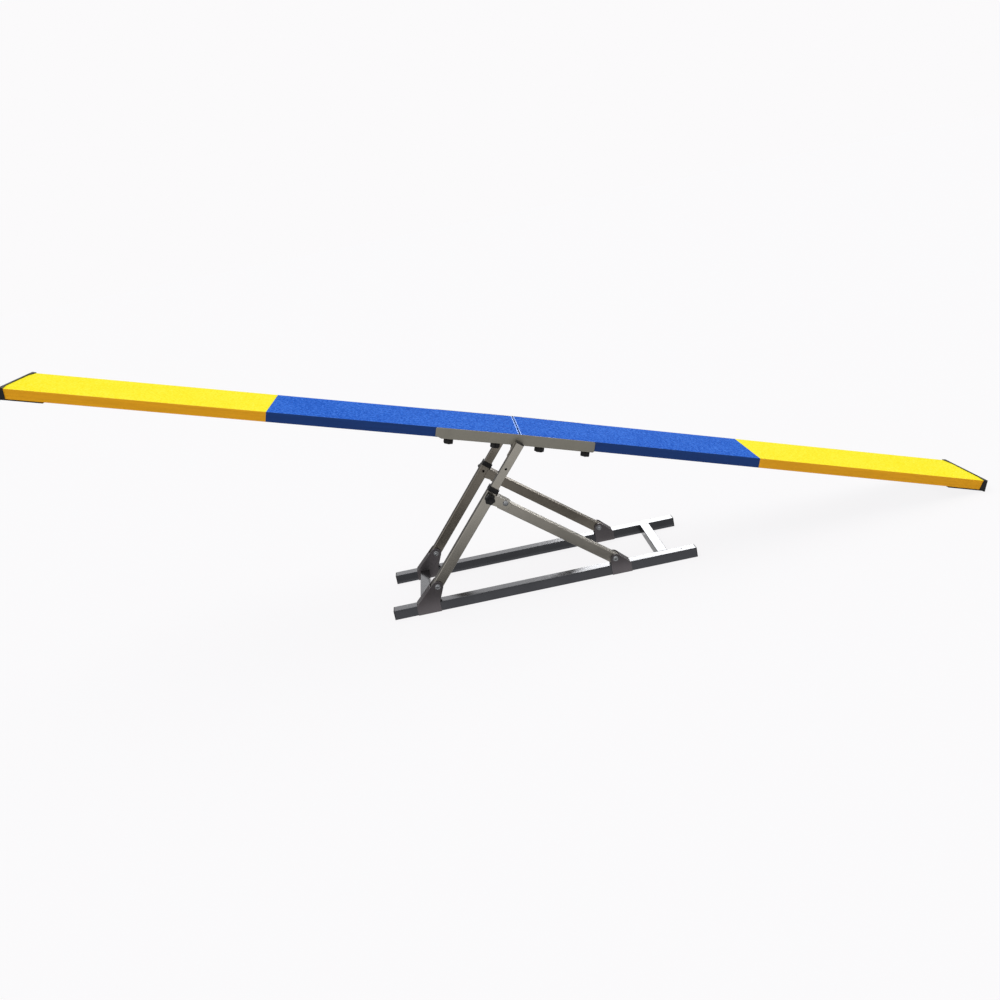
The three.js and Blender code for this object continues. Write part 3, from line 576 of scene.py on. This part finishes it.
# Each finish: its maker, its colour setting, and what else the maker takes
FINISHES = {
    # The tones of the darkest and of the lightest granules
    "blue_granules": (granular_rubber, "deck", "#1852B6", "#437CDE"),
    "yellow_granules": (granular_rubber, "contact", "#FBE71F", "#FFF646"),
    # The sides' deeper tones are partly their paint and partly painted shade
    "blue_side_paint": (painted_edge_and_shade, "deck_side"),
    "yellow_side_paint": (painted_edge_and_shade, "contact_side"),
    # The slope of its length, and its roughness
    "anodised_leg": (anodised_aluminium, "leg", LEG_SLOPE, 0.25),
    # The rear copies are the front's metal made darker, which is painted shade
    "anodised_rear_leg": (anodised_aluminium, "rear_leg", LEG_SLOPE, 0.25),
    "anodised_brace": (anodised_aluminium, "leg", BRACE_SLOPE, 0.34),
    "anodised_rear_brace": (anodised_aluminium, "rear_leg", BRACE_SLOPE, 0.34),
    # The tray's tone, darker than the legs', is painted shade
    "anodised_tray": (anodised_aluminium, "tray", TRAY_SLOPE, 0.42),
    # The seam strips' blue is a painted reflection of the sky on bare aluminium
    "anodised_seam": (anodised_aluminium, "seam", TRAY_SLOPE, 0.5),
    # The rails' dark grey stands for the shaded ground they reflect, which is painted shade
    "anodised_rail": (anodised_aluminium, "rail", 0.0, 0.19),
    "anodised_bracket": (anodised_aluminium, "bracket", 0.0, 0.38),
    "mill_aluminium": (anodised_aluminium, "mill", TRAY_SLOPE, 0.4),
    "plated_steel": (plated_steel, "steel"),
    # Its roughness, and the width of its grain
    "moulded_nylon": (moulded_plastic, "plastic", 0.45, 0.7 * MM),
    "moulded_rubber": (moulded_plastic, "rubber", 0.75, 1.2 * MM),
}


def finish(name):
    """A finish by its name, made at its first use."""
    found = bpy.data.materials.get(name)
    if found:
        return found
    maker, setting, *rest = FINISHES[name]
    return maker(name, getattr(bpy.context.scene.seesaw_colours, setting), *rest)


# Settings


class SeesawSizes(bpy.types.PropertyGroup):
    """Sizes of the pieces that Blender adds."""

    lump_pitch: FloatProperty(
        name="Lump pitch",
        description="Distance between the lumps of the granular coat",
        default=5.5 * MM,
        unit="LENGTH",
    )
    lump_height: FloatProperty(
        name="Lump height",
        description="How deep the coat dips between its lumps",
        default=0.45 * MM,
        unit="LENGTH",
    )
    coat_step: FloatProperty(
        name="Coat step",
        description="Distance between the points of the coat's surface",
        default=2.5 * MM,
        unit="LENGTH",
    )
    metal_ease: FloatProperty(
        name="Metal edge",
        description="How far the edges of tubes and plates are eased",
        default=0.7 * MM,
        unit="LENGTH",
    )
    tube_corner: FloatProperty(
        name="Tube corner",
        description="How far the long corners of the extruded tubes are rounded",
        default=1.8 * MM,
        unit="LENGTH",
    )
    plastic_ease: FloatProperty(
        name="Plastic edge",
        description="How far the edges of plastic caps are rounded",
        default=0.7 * MM,
        unit="LENGTH",
    )
    clamp_knob: FloatProperty(
        name="Clamp knob",
        description="Width of the knobs under the tray",
        default=37 * MM,
        unit="LENGTH",
    )
    lock_knob: FloatProperty(
        name="Lock knob",
        description="Width of the knobs that lock the legs' height",
        default=40 * MM,
        unit="LENGTH",
    )
    knob_lobes: IntProperty(
        name="Knob lobes", description="Lobes round each hand knob", default=6, min=3, max=12
    )


def colour_setting(name, description, code):
    """A colour that the sidebar offers, with an sRGB hex colour as its default."""
    return FloatVectorProperty(
        name=name,
        description=description,
        subtype="COLOR",
        size=4,
        min=0,
        max=1,
        default=linear(code),
    )


class SeesawColours(bpy.types.PropertyGroup):
    """Colours of the finishes."""

    deck: colour_setting("Deck", "Granules of the blue decks", "#2864CA")
    # Deeper than the deck's top, partly as its own paint and partly as painted shade
    deck_side: colour_setting("Deck side", "Sides of the blue decks", "#193C79")
    contact: colour_setting("Contact zone", "Granules of the yellow contact zones", "#FFF12C")
    # Deeper and more orange than the top, partly as its own paint and partly as painted shade
    contact_side: colour_setting("Contact side", "Sides of the contact zones", "#FAAE1B")
    leg: colour_setting("Legs", "Front legs and brace, with the plates on them", "#96928A")
    # Painted shade: the rear tubes are the front's metal, coloured darker for the shade they look to
    # be in
    rear_leg: colour_setting("Rear legs", "The same at the rear, which looks darker", "#7C766D")
    # Painted shade: the tray is coloured darker than the legs to stand for the darker reflections it
    # shows
    tray: colour_setting("Tray", "Tray and lugs", "#807D74")
    # Painted shade: this dark grey stands for the shaded ground that the rails and crossbars reflect
    rail: colour_setting("Rails", "Rails and crossbars", "#47484B")
    bracket: colour_setting("Rail brackets", "Plates from the rails to legs and braces", "#605C5E")
    mill: colour_setting("Bare aluminium", "The plank's hollow core", "#B4B8BC")
    # Painted reflection: the strips are bare aluminium, and their blue stands for the sky they reflect
    seam: colour_setting("Seam", "Strips that edge the two halves at the seam", "#4470B4")
    steel: colour_setting("Plated steel", "Bolts, cap screws, axle and rings", "#8E9092")
    plastic: colour_setting("Black plastic", "Caps, collars and knobs", "#131213")
    rubber: colour_setting("Black rubber", "Pads under the ends", "#101010")


# Pieces


def lumps(x, y, pitch, seed):
    """Rounded lumps: the square of the distance from (x, y) to the nearest of one point in each
    cell of a grid, moved off its middle at random, over the square of half the pitch, and at
    most 1."""
    cells = 128  # each way, before the pattern comes round again
    moves = np.random.default_rng(seed).uniform(0.15, 0.85, (cells, cells, 2))
    column, row = np.floor(x / pitch).astype(int), np.floor(y / pitch).astype(int)
    nearest = np.full(x.shape, np.inf)
    for across in (-1, 0, 1):
        for up in (-1, 0, 1):
            i, j = column + across, row + up
            spot = moves[i % cells, j % cells]
            dx = x / pitch - i - spot[..., 0]
            dy = y / pitch - j - spot[..., 1]
            nearest = np.minimum(nearest, dx * dx + dy * dy)
    return np.minimum(nearest * 4, 1.0)


def coat_section(step):
    """The coat's section as (y, z) round its outline: up the front side, over a quarter circle,
    across the top, over another, down the rear side, and back along the inside. It also gives how
    much each point takes part in the lumps, 1 on the top and 0 elsewhere."""
    half = PLANK_W / 2
    near, inner = -half + COAT_EDGE_R, half - COAT_SIDE_T
    inner_top = PLANK_TOP - COAT_TOP_T
    side_y = np.full(SIDE_STEPS, -half)
    side_z = np.linspace(PLANK_UNDER, PLANK_TOP - COAT_EDGE_R, SIDE_STEPS + 1)[:-1]
    turn = np.linspace(0, np.pi / 2, CORNER_STEPS)
    corner_y = near - COAT_EDGE_R * np.cos(turn)
    corner_z = PLANK_TOP - COAT_EDGE_R * (1 - np.sin(turn))
    top_y = np.linspace(near, -near, round(-2 * near / step) + 1)[1:-1]
    top_z = np.full(top_y.shape, PLANK_TOP)
    inside_y = [inner, inner, -inner, -inner]
    inside_z = [PLANK_UNDER, inner_top, inner_top, PLANK_UNDER]
    y = np.concatenate([side_y, corner_y, top_y, -corner_y[::-1], -side_y, inside_y])
    z = np.concatenate([side_z, corner_z, top_z, corner_z[::-1], side_z[::-1], inside_z])
    share = np.zeros(y.shape)
    top_start = SIDE_STEPS + CORNER_STEPS
    share[top_start : top_start + len(top_y)] = 1.0
    return y, z, share


def coat(node, sign, start, end, colour, seed):
    """One coat: its section carried along x, lowered on top by the lumps, which die out over COAT_FADE
    at both ends, and closed there. A strip of faces is granular where either of its edges takes part
    in the lumps, and elsewhere takes the side finish, whose deeper tone is partly paint and partly
    painted shade."""
    sizes = bpy.context.scene.seesaw_sizes
    section_y, section_z, share = coat_section(sizes.coat_step)
    stations = np.linspace(start, end, round((end - start) / sizes.coat_step) + 1)
    x, y = np.meshgrid(stations, section_y, indexing="ij")
    fade = np.clip(np.minimum(x - start, end - x) / COAT_FADE, 0, 1)
    z = section_z - sizes.lump_height * share * fade * lumps(x, y, sizes.lump_pitch, seed)
    points, faces = plank_form(sign, x, y, z)
    # the side finish's deeper tone is partly paint and partly painted shade
    finishes = [finish(f"{colour}_granules"), finish(f"{colour}_side_paint")]
    piece = new_piece(f"{node}_granules", points, faces, finishes)
    painted = ((share == 0) & (np.roll(share, -1) == 0)).astype(int)
    of_sides = np.tile(painted, len(stations) - 1)
    piece.data.polygons.foreach_set("material_index", [*of_sides, 1, 1])
    crisp_edges(piece)
    stands_for(piece, node)


class SEESAW_OT_coats(bpy.types.Operator):
    """Makes the blue and yellow non-slip coats."""

    bl_idname = "seesaw.coats"
    bl_label = "Coats"

    def execute(self, context):
        blue_end, yellow_start = CONTACT_START - COAT_GAP, CONTACT_START + COAT_GAP
        for name, sign in ENDS.items():
            coat(f"deck_coat_{name}", sign, BOARD_START, blue_end, "blue", seed=3 + sign)
            coat(f"contact_coat_{name}", sign, yellow_start, BOARD_END, "yellow", seed=7 + sign)
        return {"FINISHED"}


class SEESAW_OT_ends(bpy.types.Operator):
    """Makes the plank's hollow core, seam strips, end caps and the pads under its ends."""

    bl_idname = "seesaw.ends"
    bl_label = "Core and ends"

    def execute(self, context):
        sizes = context.scene.seesaw_sizes
        for name, sign in ENDS.items():
            core = frame["nodes"][f"plank_core_{name}"]
            core.data.materials.clear()
            core.data.materials.append(finish("mill_aluminium"))
            # the seam strip's blue is a painted sky reflection
            eased_piece(
                f"seam_strip_{name}", finish("anodised_seam"), sizes.metal_ease
            )
            eased_piece(
                f"end_cap_{name}", finish("moulded_nylon"), END_CAP_EASE, segments=3
            )
            self.pad(f"end_pad_{name}", sign)
        return {"FINISHED"}

    def pad(self, node, sign):
        """A slab whose underside is ribbed along the plank. The grooves are a cosine wave of the
        distance d from the pad's side: RIB_DEPTH (1 - cos(2 pi d / RIB_PITCH)) / 2 deep."""
        y = np.linspace(-PAD_W / 2, PAD_W / 2, round(PAD_W / RIB_PITCH * RIB_STEPS) + 1)
        groove = RIB_DEPTH * (1 - np.cos(2 * np.pi * (y + PAD_W / 2) / RIB_PITCH)) / 2
        loop_y = np.concatenate([y, y[::-1]])
        loop_z = np.concatenate([PAD_UNDER + groove, np.full(y.shape, PAD_TOP)])
        stations = np.linspace(BOARD_END - PAD_L, BOARD_END, PAD_SECTIONS)
        x, section_y = np.meshgrid(stations, loop_y, indexing="ij")
        points, faces = plank_form(sign, x, section_y, np.broadcast_to(loop_z, x.shape))
        piece = new_piece(f"{node}_ribbed", points, faces, [finish("moulded_rubber")])
        crisp_edges(piece)
        stands_for(piece, node)


def knob_shells(width, lobes, stud_r, stud_l):
    """A hand knob as closed turned forms: a lobed head with rounded rims and a dished face, on a
    round hub, and a stud ringed like a thread. z is 0 at the hub's face and the stud points up."""
    count = lobes * LOBE_STEPS
    r = width / 2

    def rim(inset):
        """The lobed outline, moved inwards, where its lobes are shallower."""
        return lobed(r - inset, LOBE_DEPTH * (1 - inset / r), lobes, count)

    top, bottom = -HUB_L, -HUB_L - HEAD_L
    head = turned(
        [
            # The hub, from its face to the fillet where it meets the head
            (HUB_R - 0.8 * MM, 0),
            (HUB_R - 0.2 * MM, -0.25 * MM),
            (HUB_R, -0.8 * MM),
            (HUB_R, top + 1.6 * MM),
            (HUB_R + 0.5 * MM, top + 0.6 * MM),
            (np.minimum(HUB_R + 1.4 * MM, rim(2.6 * MM)), top + 0.1 * MM),
            # The lobes, over their two rounded rims
            (rim(2.2 * MM), top),
            (rim(0.7 * MM), top - 0.5 * MM),
            (rim(0.1 * MM), top - 1.7 * MM),
            (rim(0), top - 4 * MM),
            (rim(0), bottom + 4 * MM),
            (rim(0.25 * MM), bottom + 2 * MM),
            (rim(1.1 * MM), bottom + 0.6 * MM),
            (rim(2.6 * MM), bottom),
            # The dished face
            (r * 0.46, bottom),
            (r * 0.42, bottom + 0.5 * MM),
            (r * 0.4, bottom + 1.4 * MM),
            (r * 0.1, bottom + 1.5 * MM),
        ],
        count,
    )
    sunk = MM  # how deep the stud starts inside the hub
    tip_r, groove = stud_r - 0.9 * MM, 0.55 * MM
    thread = [(tip_r, -sunk)]
    for i in range(int((stud_l + sunk) / THREAD_PITCH * 2)):
        thread.append((stud_r - (groove if i % 2 else 0), -sunk + (i + 0.5) * THREAD_PITCH / 2))
    thread.append((tip_r, stud_l))
    return gathered([head, turned(thread, THREAD_STEPS)])


class SEESAW_OT_knobs(bpy.types.Operator):
    """Makes the eight clamp knobs under the tray and the two lock knobs on the legs."""

    bl_idname = "seesaw.knobs"
    bl_label = "Knobs"

    def execute(self, context):
        sizes = context.scene.seesaw_sizes
        plastic = finish("moulded_nylon")
        clamp = knob_shells(sizes.clamp_knob, sizes.knob_lobes, *CLAMP_STUD)
        lock = knob_shells(sizes.lock_knob, sizes.knob_lobes, *LOCK_STUD)
        for side, sign in SIDES.items():
            for station, degrees in enumerate(CLAMP_TURNS, 1):
                joint = JOINTS[f"clamp_{side}_{station}_turn"]
                place = standing(joint["pos_m"], joint["axis"], degrees)
                node = f"clamp_knob_{side}_{station}"
                fitted(node, "lobed", clamp, place, plastic)
            foot = bolt_middle(f"foot_bolt_{side}", sign)
            spot = foot + LEG_DIRECTION * LOCK_ALONG + Vector((0, sign * LOCK_OUT, 0))
            place = standing(spot, (0, -sign, 0), LOCK_TURN)
            fitted(f"lock_knob_{side}", "lobed", lock, place, plastic)
        return {"FINISHED"}


def bolt_shells(grip):
    """A button-head bolt on z, head down, as closed turned forms: a domed head with a hexagon
    socket, a washer at each side, the shank, a chamfered nut and the thread's end."""
    head_r, head_h, washer_r, washer_t = 9 * MM, 5.5 * MM, 10.5 * MM, 1.5 * MM
    core = 2 * MM  # the forms round the shank close inside it
    base = -grip - washer_t
    socket = hexagon(6 * MM, BOLT_STEPS)
    socket_floor = base - head_h + 3 * MM
    brim, dome_h = head_h * 0.12, head_h * 0.88
    dome = [
        (head_r * math.cos(a), base - brim - dome_h * math.sin(a))
        for a in np.radians([62, 50, 38, 26, 13, 0])
    ]
    mouth = dome[0][1]
    head = turned(
        [(socket * 0.2, socket_floor), (socket, socket_floor)]
        + [(socket, mouth + 0.25 * MM), (socket + 0.3 * MM, mouth)]
        + [*dome, (head_r - 0.1 * MM, base), (head_r * 0.3, base)],
        BOLT_STEPS,
    )

    def washer(z):
        """A flat washer whose outer edges are broken."""
        edge = 0.35 * MM
        return turned(
            [
                (core, z),
                (washer_r - edge, z),
                (washer_r, z + edge),
                (washer_r, z + washer_t - edge),
                (washer_r - edge, z + washer_t),
                (core, z + washer_t),
            ],
            BOLT_STEPS,
        )

    nut_start = grip + washer_t
    nut_end = nut_start + 8 * MM
    flats = hexagon(15.588 * MM, BOLT_STEPS)  # 18 mm across its corners
    face_r = 7.6 * MM
    chamfered = np.minimum(flats, 8.4 * MM)
    nut = turned(
        [
            (core, nut_start),
            (face_r, nut_start),
            (chamfered, nut_start + 0.6 * MM),
            (flats, nut_start + 1.2 * MM),
            (flats, nut_end - 1.2 * MM),
            (chamfered, nut_end - 0.6 * MM),
            (face_r, nut_end),
            (core, nut_end),
        ],
        BOLT_STEPS,
    )
    shank_r, tip_r, tip = 5 * MM, 4.2 * MM, nut_end + 3 * MM
    shank = turned(
        [
            (core, base),
            (shank_r, base + 0.01 * MM),
            (shank_r, nut_end + 2.2 * MM),
            (tip_r, tip),
            (core, tip),
        ],
        BOLT_STEPS,
    )
    return gathered([head, washer(base), washer(grip), nut, shank])


class SEESAW_OT_fasteners(bpy.types.Operator):
    """Makes the stand's bolts, the axle with its rings, and the screws of the rail caps."""

    bl_idname = "seesaw.fasteners"
    bl_label = "Bolts and axle"

    def execute(self, context):
        steel = finish("plated_steel")
        grips = {"foot_bolt": RAIL_GRIP, "brace_foot_bolt": RAIL_GRIP, "brace_top_bolt": LEG_GRIP}
        for side, sign in SIDES.items():
            for kind, grip in grips.items():
                node = f"{kind}_{side}"
                place = standing(bolt_middle(node, sign), (0, -sign, 0))
                self.fit(node, "button", bolt_shells(grip), place, steel)
            self.ring(f"axle_ring_{side}", steel)
        self.axle(steel)
        self.cap_screws(steel)
        return {"FINISHED"}

    def fit(self, node, ending, form, place, steel):
        """A steel form in its place, with its sharp edges kept crisp."""
        crisp_edges(fitted(node, ending, form, place, steel))

    def axle(self, steel):
        """A round bar with chamfered ends."""
        chamfer = MM
        rows = [(AXLE_R / 2, -AXLE_REACH), (AXLE_R - chamfer, -AXLE_REACH)]
        rows += [(AXLE_R, -AXLE_REACH + chamfer), (AXLE_R, AXLE_REACH - chamfer)]
        rows += [(AXLE_R - chamfer, AXLE_REACH), (AXLE_R / 2, AXLE_REACH)]
        place = standing(AXLE, (0, 1, 0))
        self.fit("axle_rod", "turned", turned(rows, AXLE_STEPS), place, steel)

    def ring(self, node, steel):
        """A collar on the axle, chamfered all round. Its loop's z is a place across the stand."""
        low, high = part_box(node)
        near, far = low.y, high.y
        edge = 0.8 * MM
        loop = [(RING_BORE_R, near + edge), (RING_BORE_R + edge, near), (RING_R - edge, near)]
        loop += [(RING_R, near + edge), (RING_R, far - edge), (RING_R - edge, far)]
        loop += [(RING_BORE_R + edge, far), (RING_BORE_R, far - edge)]
        place = Matrix.Translation((AXLE.x, 0, AXLE.z)) @ Matrix.Rotation(-math.pi / 2, 4, "X")
        self.fit(node, "turned", turned_ring(loop, AXLE_STEPS), place, steel)

    def cap_screws(self, steel):
        """Small raised screw heads on the rails' tops, one near either end of each rail, with the
        round mouth of a cross recess."""
        rows = [(0.5 * MM, -1.2 * MM), (2.6 * MM, -1.2 * MM), (2.7 * MM, 0.1 * MM)]
        rows += [(2.4 * MM, 0.7 * MM), (1.7 * MM, 1.0 * MM), (1.2 * MM, 1.0 * MM)]
        rows += [(1.0 * MM, 0.3 * MM), (0.3 * MM, 0.2 * MM)]
        for side, sign in SIDES.items():
            low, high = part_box(f"rail_{side}")
            for name, x in (("left", low.x + SCREW_IN), ("right", high.x - SCREW_IN)):
                points, faces = turned(rows, SCREW_STEPS)
                points = points + [x, sign * LEG_Y, RAIL_TOP]
                piece = new_piece(f"rail_screw_{side}_{name}", points, faces, [steel])
                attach(piece, "base")


class SEESAW_OT_stand(bpy.types.Operator):
    """Finishes the rails, crossbars, legs, braces, brackets and the tray with its lugs."""

    bl_idname = "seesaw.stand"
    bl_label = "Stand and tray"

    def execute(self, context):
        sizes = context.scene.seesaw_sizes
        metal, plastic, corner = sizes.metal_ease, sizes.plastic_ease, sizes.tube_corner
        for side in SIDES:
            # the rails' dark grey is painted shade
            eased_piece(f"rail_{side}", finish("anodised_rail"), metal, corner)
            for node in ("foot_bracket", "brace_foot_bracket"):
                eased_piece(f"{node}_{side}", finish("anodised_bracket"), metal)
            # the rear legs take the darker copy, which is painted shade
            leg = finish("anodised_leg" if side == "front" else "anodised_rear_leg")
            for node in ("outer_leg", "inner_leg"):
                eased_piece(f"{node}_{side}", leg, metal, corner)
            for node in ("axle_plate", "brace_bracket"):
                eased_piece(f"{node}_{side}", leg, metal)
            # and so do the rear braces, whose darker copy is painted shade
            brace = finish("anodised_brace" if side == "front" else "anodised_rear_brace")
            eased_piece(f"brace_{side}", brace, metal, corner)
            # the lugs take the tray's darker tone, which is painted shade
            eased_piece(f"pivot_lug_{side}", finish("anodised_tray"), metal)
            for node in ("leg_collar", "inner_leg_plug"):
                eased_piece(f"{node}_{side}", finish("moulded_nylon"), plastic)
            for end in ENDS:
                node = f"rail_cap_{side}_{end}"
                eased_piece(node, finish("moulded_nylon"), plastic)
        for end in ENDS:
            # the crossbars' dark grey is painted shade
            eased_piece(f"crossbar_{end}", finish("anodised_rail"), metal, corner)
        # the tray's darker tone is painted shade
        eased_piece("tray", finish("anodised_tray"), TRAY_EASE)
        return {"FINISHED"}


class SEESAW_OT_stage(bpy.types.Operator):
    """Makes the pale floor, the studio light, the world and the camera."""

    bl_idname = "seesaw.stage"
    bl_label = "Stage"

    def execute(self, context):
        scene = context.scene
        scene.view_settings.view_transform = "Standard"
        self.world(scene)
        self.floor()
        self.lights(scene)
        self.camera(scene)
        return {"FINISHED"}

    def seen(self, tree):
        """1 for camera, glossy and transmission rays, which see the white backdrop."""
        path = add(tree, "ShaderNodeLightPath")
        either = add(
            tree,
            "ShaderNodeMath",
            {0: path.outputs["Is Camera Ray"], 1: path.outputs["Is Glossy Ray"]},
            operation="MAXIMUM",
        )
        return add(
            tree,
            "ShaderNodeMath",
            {0: either.outputs[0], 1: path.outputs["Is Transmission Ray"]},
            operation="MAXIMUM",
        ).outputs[0]

    def world(self, scene):
        """A dim, cool sky that lights the object, and the white backdrop that is seen."""
        world = bpy.data.worlds.new("white studio")
        world.use_nodes = True
        scene.world = world
        tree = world.node_tree
        tree.nodes.clear()
        light = add(tree, "ShaderNodeBackground", {"Color": linear("#F4F7FF"), "Strength": 0.5})
        white = add(tree, "ShaderNodeBackground", {"Color": linear(BACKDROP), "Strength": 1.0})
        mix = add(
            tree, "ShaderNodeMixShader", {0: self.seen(tree), 1: light.outputs[0], 2: white.outputs[0]}
        )
        add(tree, "ShaderNodeOutputWorld", {"Surface": mix.outputs[0]})

    def floor(self):
        """A flat sheet just under the object. What is seen of it is mostly its own white, and
        the rest is lit, so the shadow on it stays soft and faint."""
        material = bpy.data.materials.new("pale floor")
        material.use_nodes = True
        tree = material.node_tree
        tree.nodes.clear()
        lit = add(tree, "ShaderNodeBsdfDiffuse", {"Color": linear("#D8D8D8")})
        faint = add(tree, "ShaderNodeBsdfDiffuse", {"Color": linear("#505050")})
        white = add(tree, "ShaderNodeEmission", {"Color": linear(BACKDROP), "Strength": 0.91})
        shown = add(tree, "ShaderNodeAddShader", {0: faint.outputs[0], 1: white.outputs[0]})
        mix = add(
            tree, "ShaderNodeMixShader", {0: self.seen(tree), 1: lit.outputs[0], 2: shown.outputs[0]}
        )
        add(tree, "ShaderNodeOutputMaterial", {"Surface": mix.outputs[0]})
        lines = np.linspace(-FLOOR_REACH, FLOOR_REACH, FLOOR_LINES)
        x, y = np.meshgrid(lines, lines, indexing="ij")
        points = np.stack([x, y, np.full(x.shape, -FLOOR_DROP)], -1).reshape(-1, 3)
        floor = new_piece("floor", points, grid_quads(*x.shape).tolist(), [material])

    def lights(self, scene):
        """One very soft sun, and the panels and cards that the metal reflects."""
        sun = bpy.data.lights.new("high sun", "SUN")
        sun.energy = 2.1
        sun.angle = math.radians(70)
        high = bpy.data.objects.new("high sun", sun)
        high.rotation_mode = "QUATERNION"
        high.rotation_quaternion = Vector((-0.25, 0.25, 1)).to_track_quat("Z", "Y")
        scene.collection.objects.link(high)
        size = (3.2, 1.1)
        self.panel("back panel", (2.1, 5.2, 2.2), target=(0.35, 0, 0.1), size=size, watts=110)
        self.panel("left panel", (-1.2, 5.2, 2.2), target=(-0.35, 0, 0.1), size=size, watts=11)
        self.card(
            "near card",
            ends=(-1.4, 1.8),
            edges=((-2.4, 0), (-0.3, 0)),
            axis="Y",
            reach=(-1.4, -0.38),
            codes=("#FAFAFA", "#6C6C6C"),
        )
        self.card(
            "far card",
            ends=(-6, 6),
            edges=((5, 0), (5, 1.5)),
            axis="Z",
            reach=(0.9, 1.5),
            codes=("#6A6A6A", "#8A8A8A"),
        )
        self.card(
            "floor card",
            ends=(-6, 6),
            edges=((0.25, 0), (5, 0)),
            axis="Y",
            reach=(0.3, 1.2),
            codes=("#9A9A9A", "#6A6A6A"),
        )
        self.card(
            "inner card",
            ends=(-0.6, 1.3),
            edges=((-0.13, 0), (0.13, 0)),
            axis="Y",
            reach=(-0.13, 0.13),
            codes=("#CACACA", "#CACACA"),
        )

    def card(self, name, ends, edges, axis, reach, codes):
        """A grey card that only shows in reflections, so that metal darkens where it faces it:
        flat on the floor before, inside or behind the stand, or upright at the horizon behind it.
        ends are the x of its left and right end, and edges the (y, z) of its two long edges. Its
        tone runs from the first colour to the second as the place along the axis crosses the
        reach."""
        corners = [(x, y, z) for x in ends for y, z in edges]
        grey = bpy.data.materials.new(name)
        grey.use_nodes = True
        tree = grey.node_tree
        tree.nodes.clear()
        places = add(tree, "ShaderNodeTexCoord").outputs["Object"]
        split = add(tree, "ShaderNodeSeparateXYZ", {"Vector": places})
        share = add(
            tree, "ShaderNodeMapRange", {"Value": split.outputs[axis], 1: reach[0], 2: reach[1]}
        )
        ramp = add(tree, "ShaderNodeValToRGB", {"Fac": share.outputs[0]})
        for stop, code in zip(ramp.color_ramp.elements, codes):
            stop.color = linear(code)
        tone = add(tree, "ShaderNodeEmission", {"Color": ramp.outputs["Color"], "Strength": 1.0})
        add(tree, "ShaderNodeOutputMaterial", {"Surface": tone.outputs[0]})
        card = new_piece(name, corners, grid_quads(2, 2).tolist(), [grey])
        card.visible_camera = False
        card.visible_diffuse = False
        card.visible_shadow = False
        card.visible_transmission = False

    def panel(self, name, place, target, size, watts):
        """A white panel that only shows in reflections, so that metal gets its bright edges while
        the coats keep their colours."""
        light = bpy.data.lights.new(name, "AREA")
        light.shape = "RECTANGLE"
        light.size, light.size_y = size
        light.energy = watts
        lamp = bpy.data.objects.new(name, light)
        lamp.location = place
        lamp.rotation_mode = "QUATERNION"
        lamp.rotation_quaternion = (Vector(place) - Vector(target)).to_track_quat("Z", "Y")
        lamp.visible_diffuse = False
        bpy.context.scene.collection.objects.link(lamp)

    def camera(self, scene):
        """The lens and the place fitted to the plank's known length, width and colour zones."""
        lens = bpy.data.cameras.new("camera")
        lens.sensor_width = 36  # mm, as the focal length is
        lens.lens = 34.272
        lens.shift_x, lens.shift_y = 0.006, -0.0125
        camera = bpy.data.objects.new("camera", lens)
        right = Vector((0.9787, -0.0747, -0.1910))
        up = Vector((0.2046, 0.2926, 0.9341))
        camera.rotation_mode = "QUATERNION"
        camera.rotation_quaternion = Matrix((right, up, right.cross(up))).transposed().to_quaternion()
        camera.location = (-0.1724, -3.5254, 1.4918)
        scene.collection.objects.link(camera)
        scene.camera = camera


PIECES = (SEESAW_OT_coats, SEESAW_OT_ends, SEESAW_OT_knobs, SEESAW_OT_fasteners, SEESAW_OT_stand)


class SEESAW_PT_panel(bpy.types.Panel):
    """Lists the settings and the makers of the pieces."""

    bl_idname = "SEESAW_PT_panel"
    bl_label = "Agility seesaw"
    bl_space_type = "VIEW_3D"
    bl_region_type = "UI"
    bl_category = "Seesaw"

    def draw(self, context):
        for group in (context.scene.seesaw_sizes, context.scene.seesaw_colours):
            column = self.layout.column(align=True)
            for name in group.__annotations__:
                column.prop(group, name)
        for operator in (SEESAW_OT_stage, *PIECES):
            self.layout.operator(operator.bl_idname)


CLASSES = (SeesawSizes, SeesawColours, SEESAW_OT_stage, *PIECES, SEESAW_PT_panel)


def register():
    for cls in CLASSES:
        bpy.utils.register_class(cls)
    bpy.types.Scene.seesaw_sizes = PointerProperty(type=SeesawSizes)
    bpy.types.Scene.seesaw_colours = PointerProperty(type=SeesawColours)


def unregister():
    del bpy.types.Scene.seesaw_colours
    del bpy.types.Scene.seesaw_sizes
    for cls in reversed(CLASSES):
        bpy.utils.unregister_class(cls)


def main():
    register()
    bpy.ops.seesaw.stage()
    bpy.ops.seesaw.coats()
    bpy.ops.seesaw.ends()
    bpy.ops.seesaw.knobs()
    bpy.ops.seesaw.fasteners()
    bpy.ops.seesaw.stand()


if __name__ == "__main__":
    main()
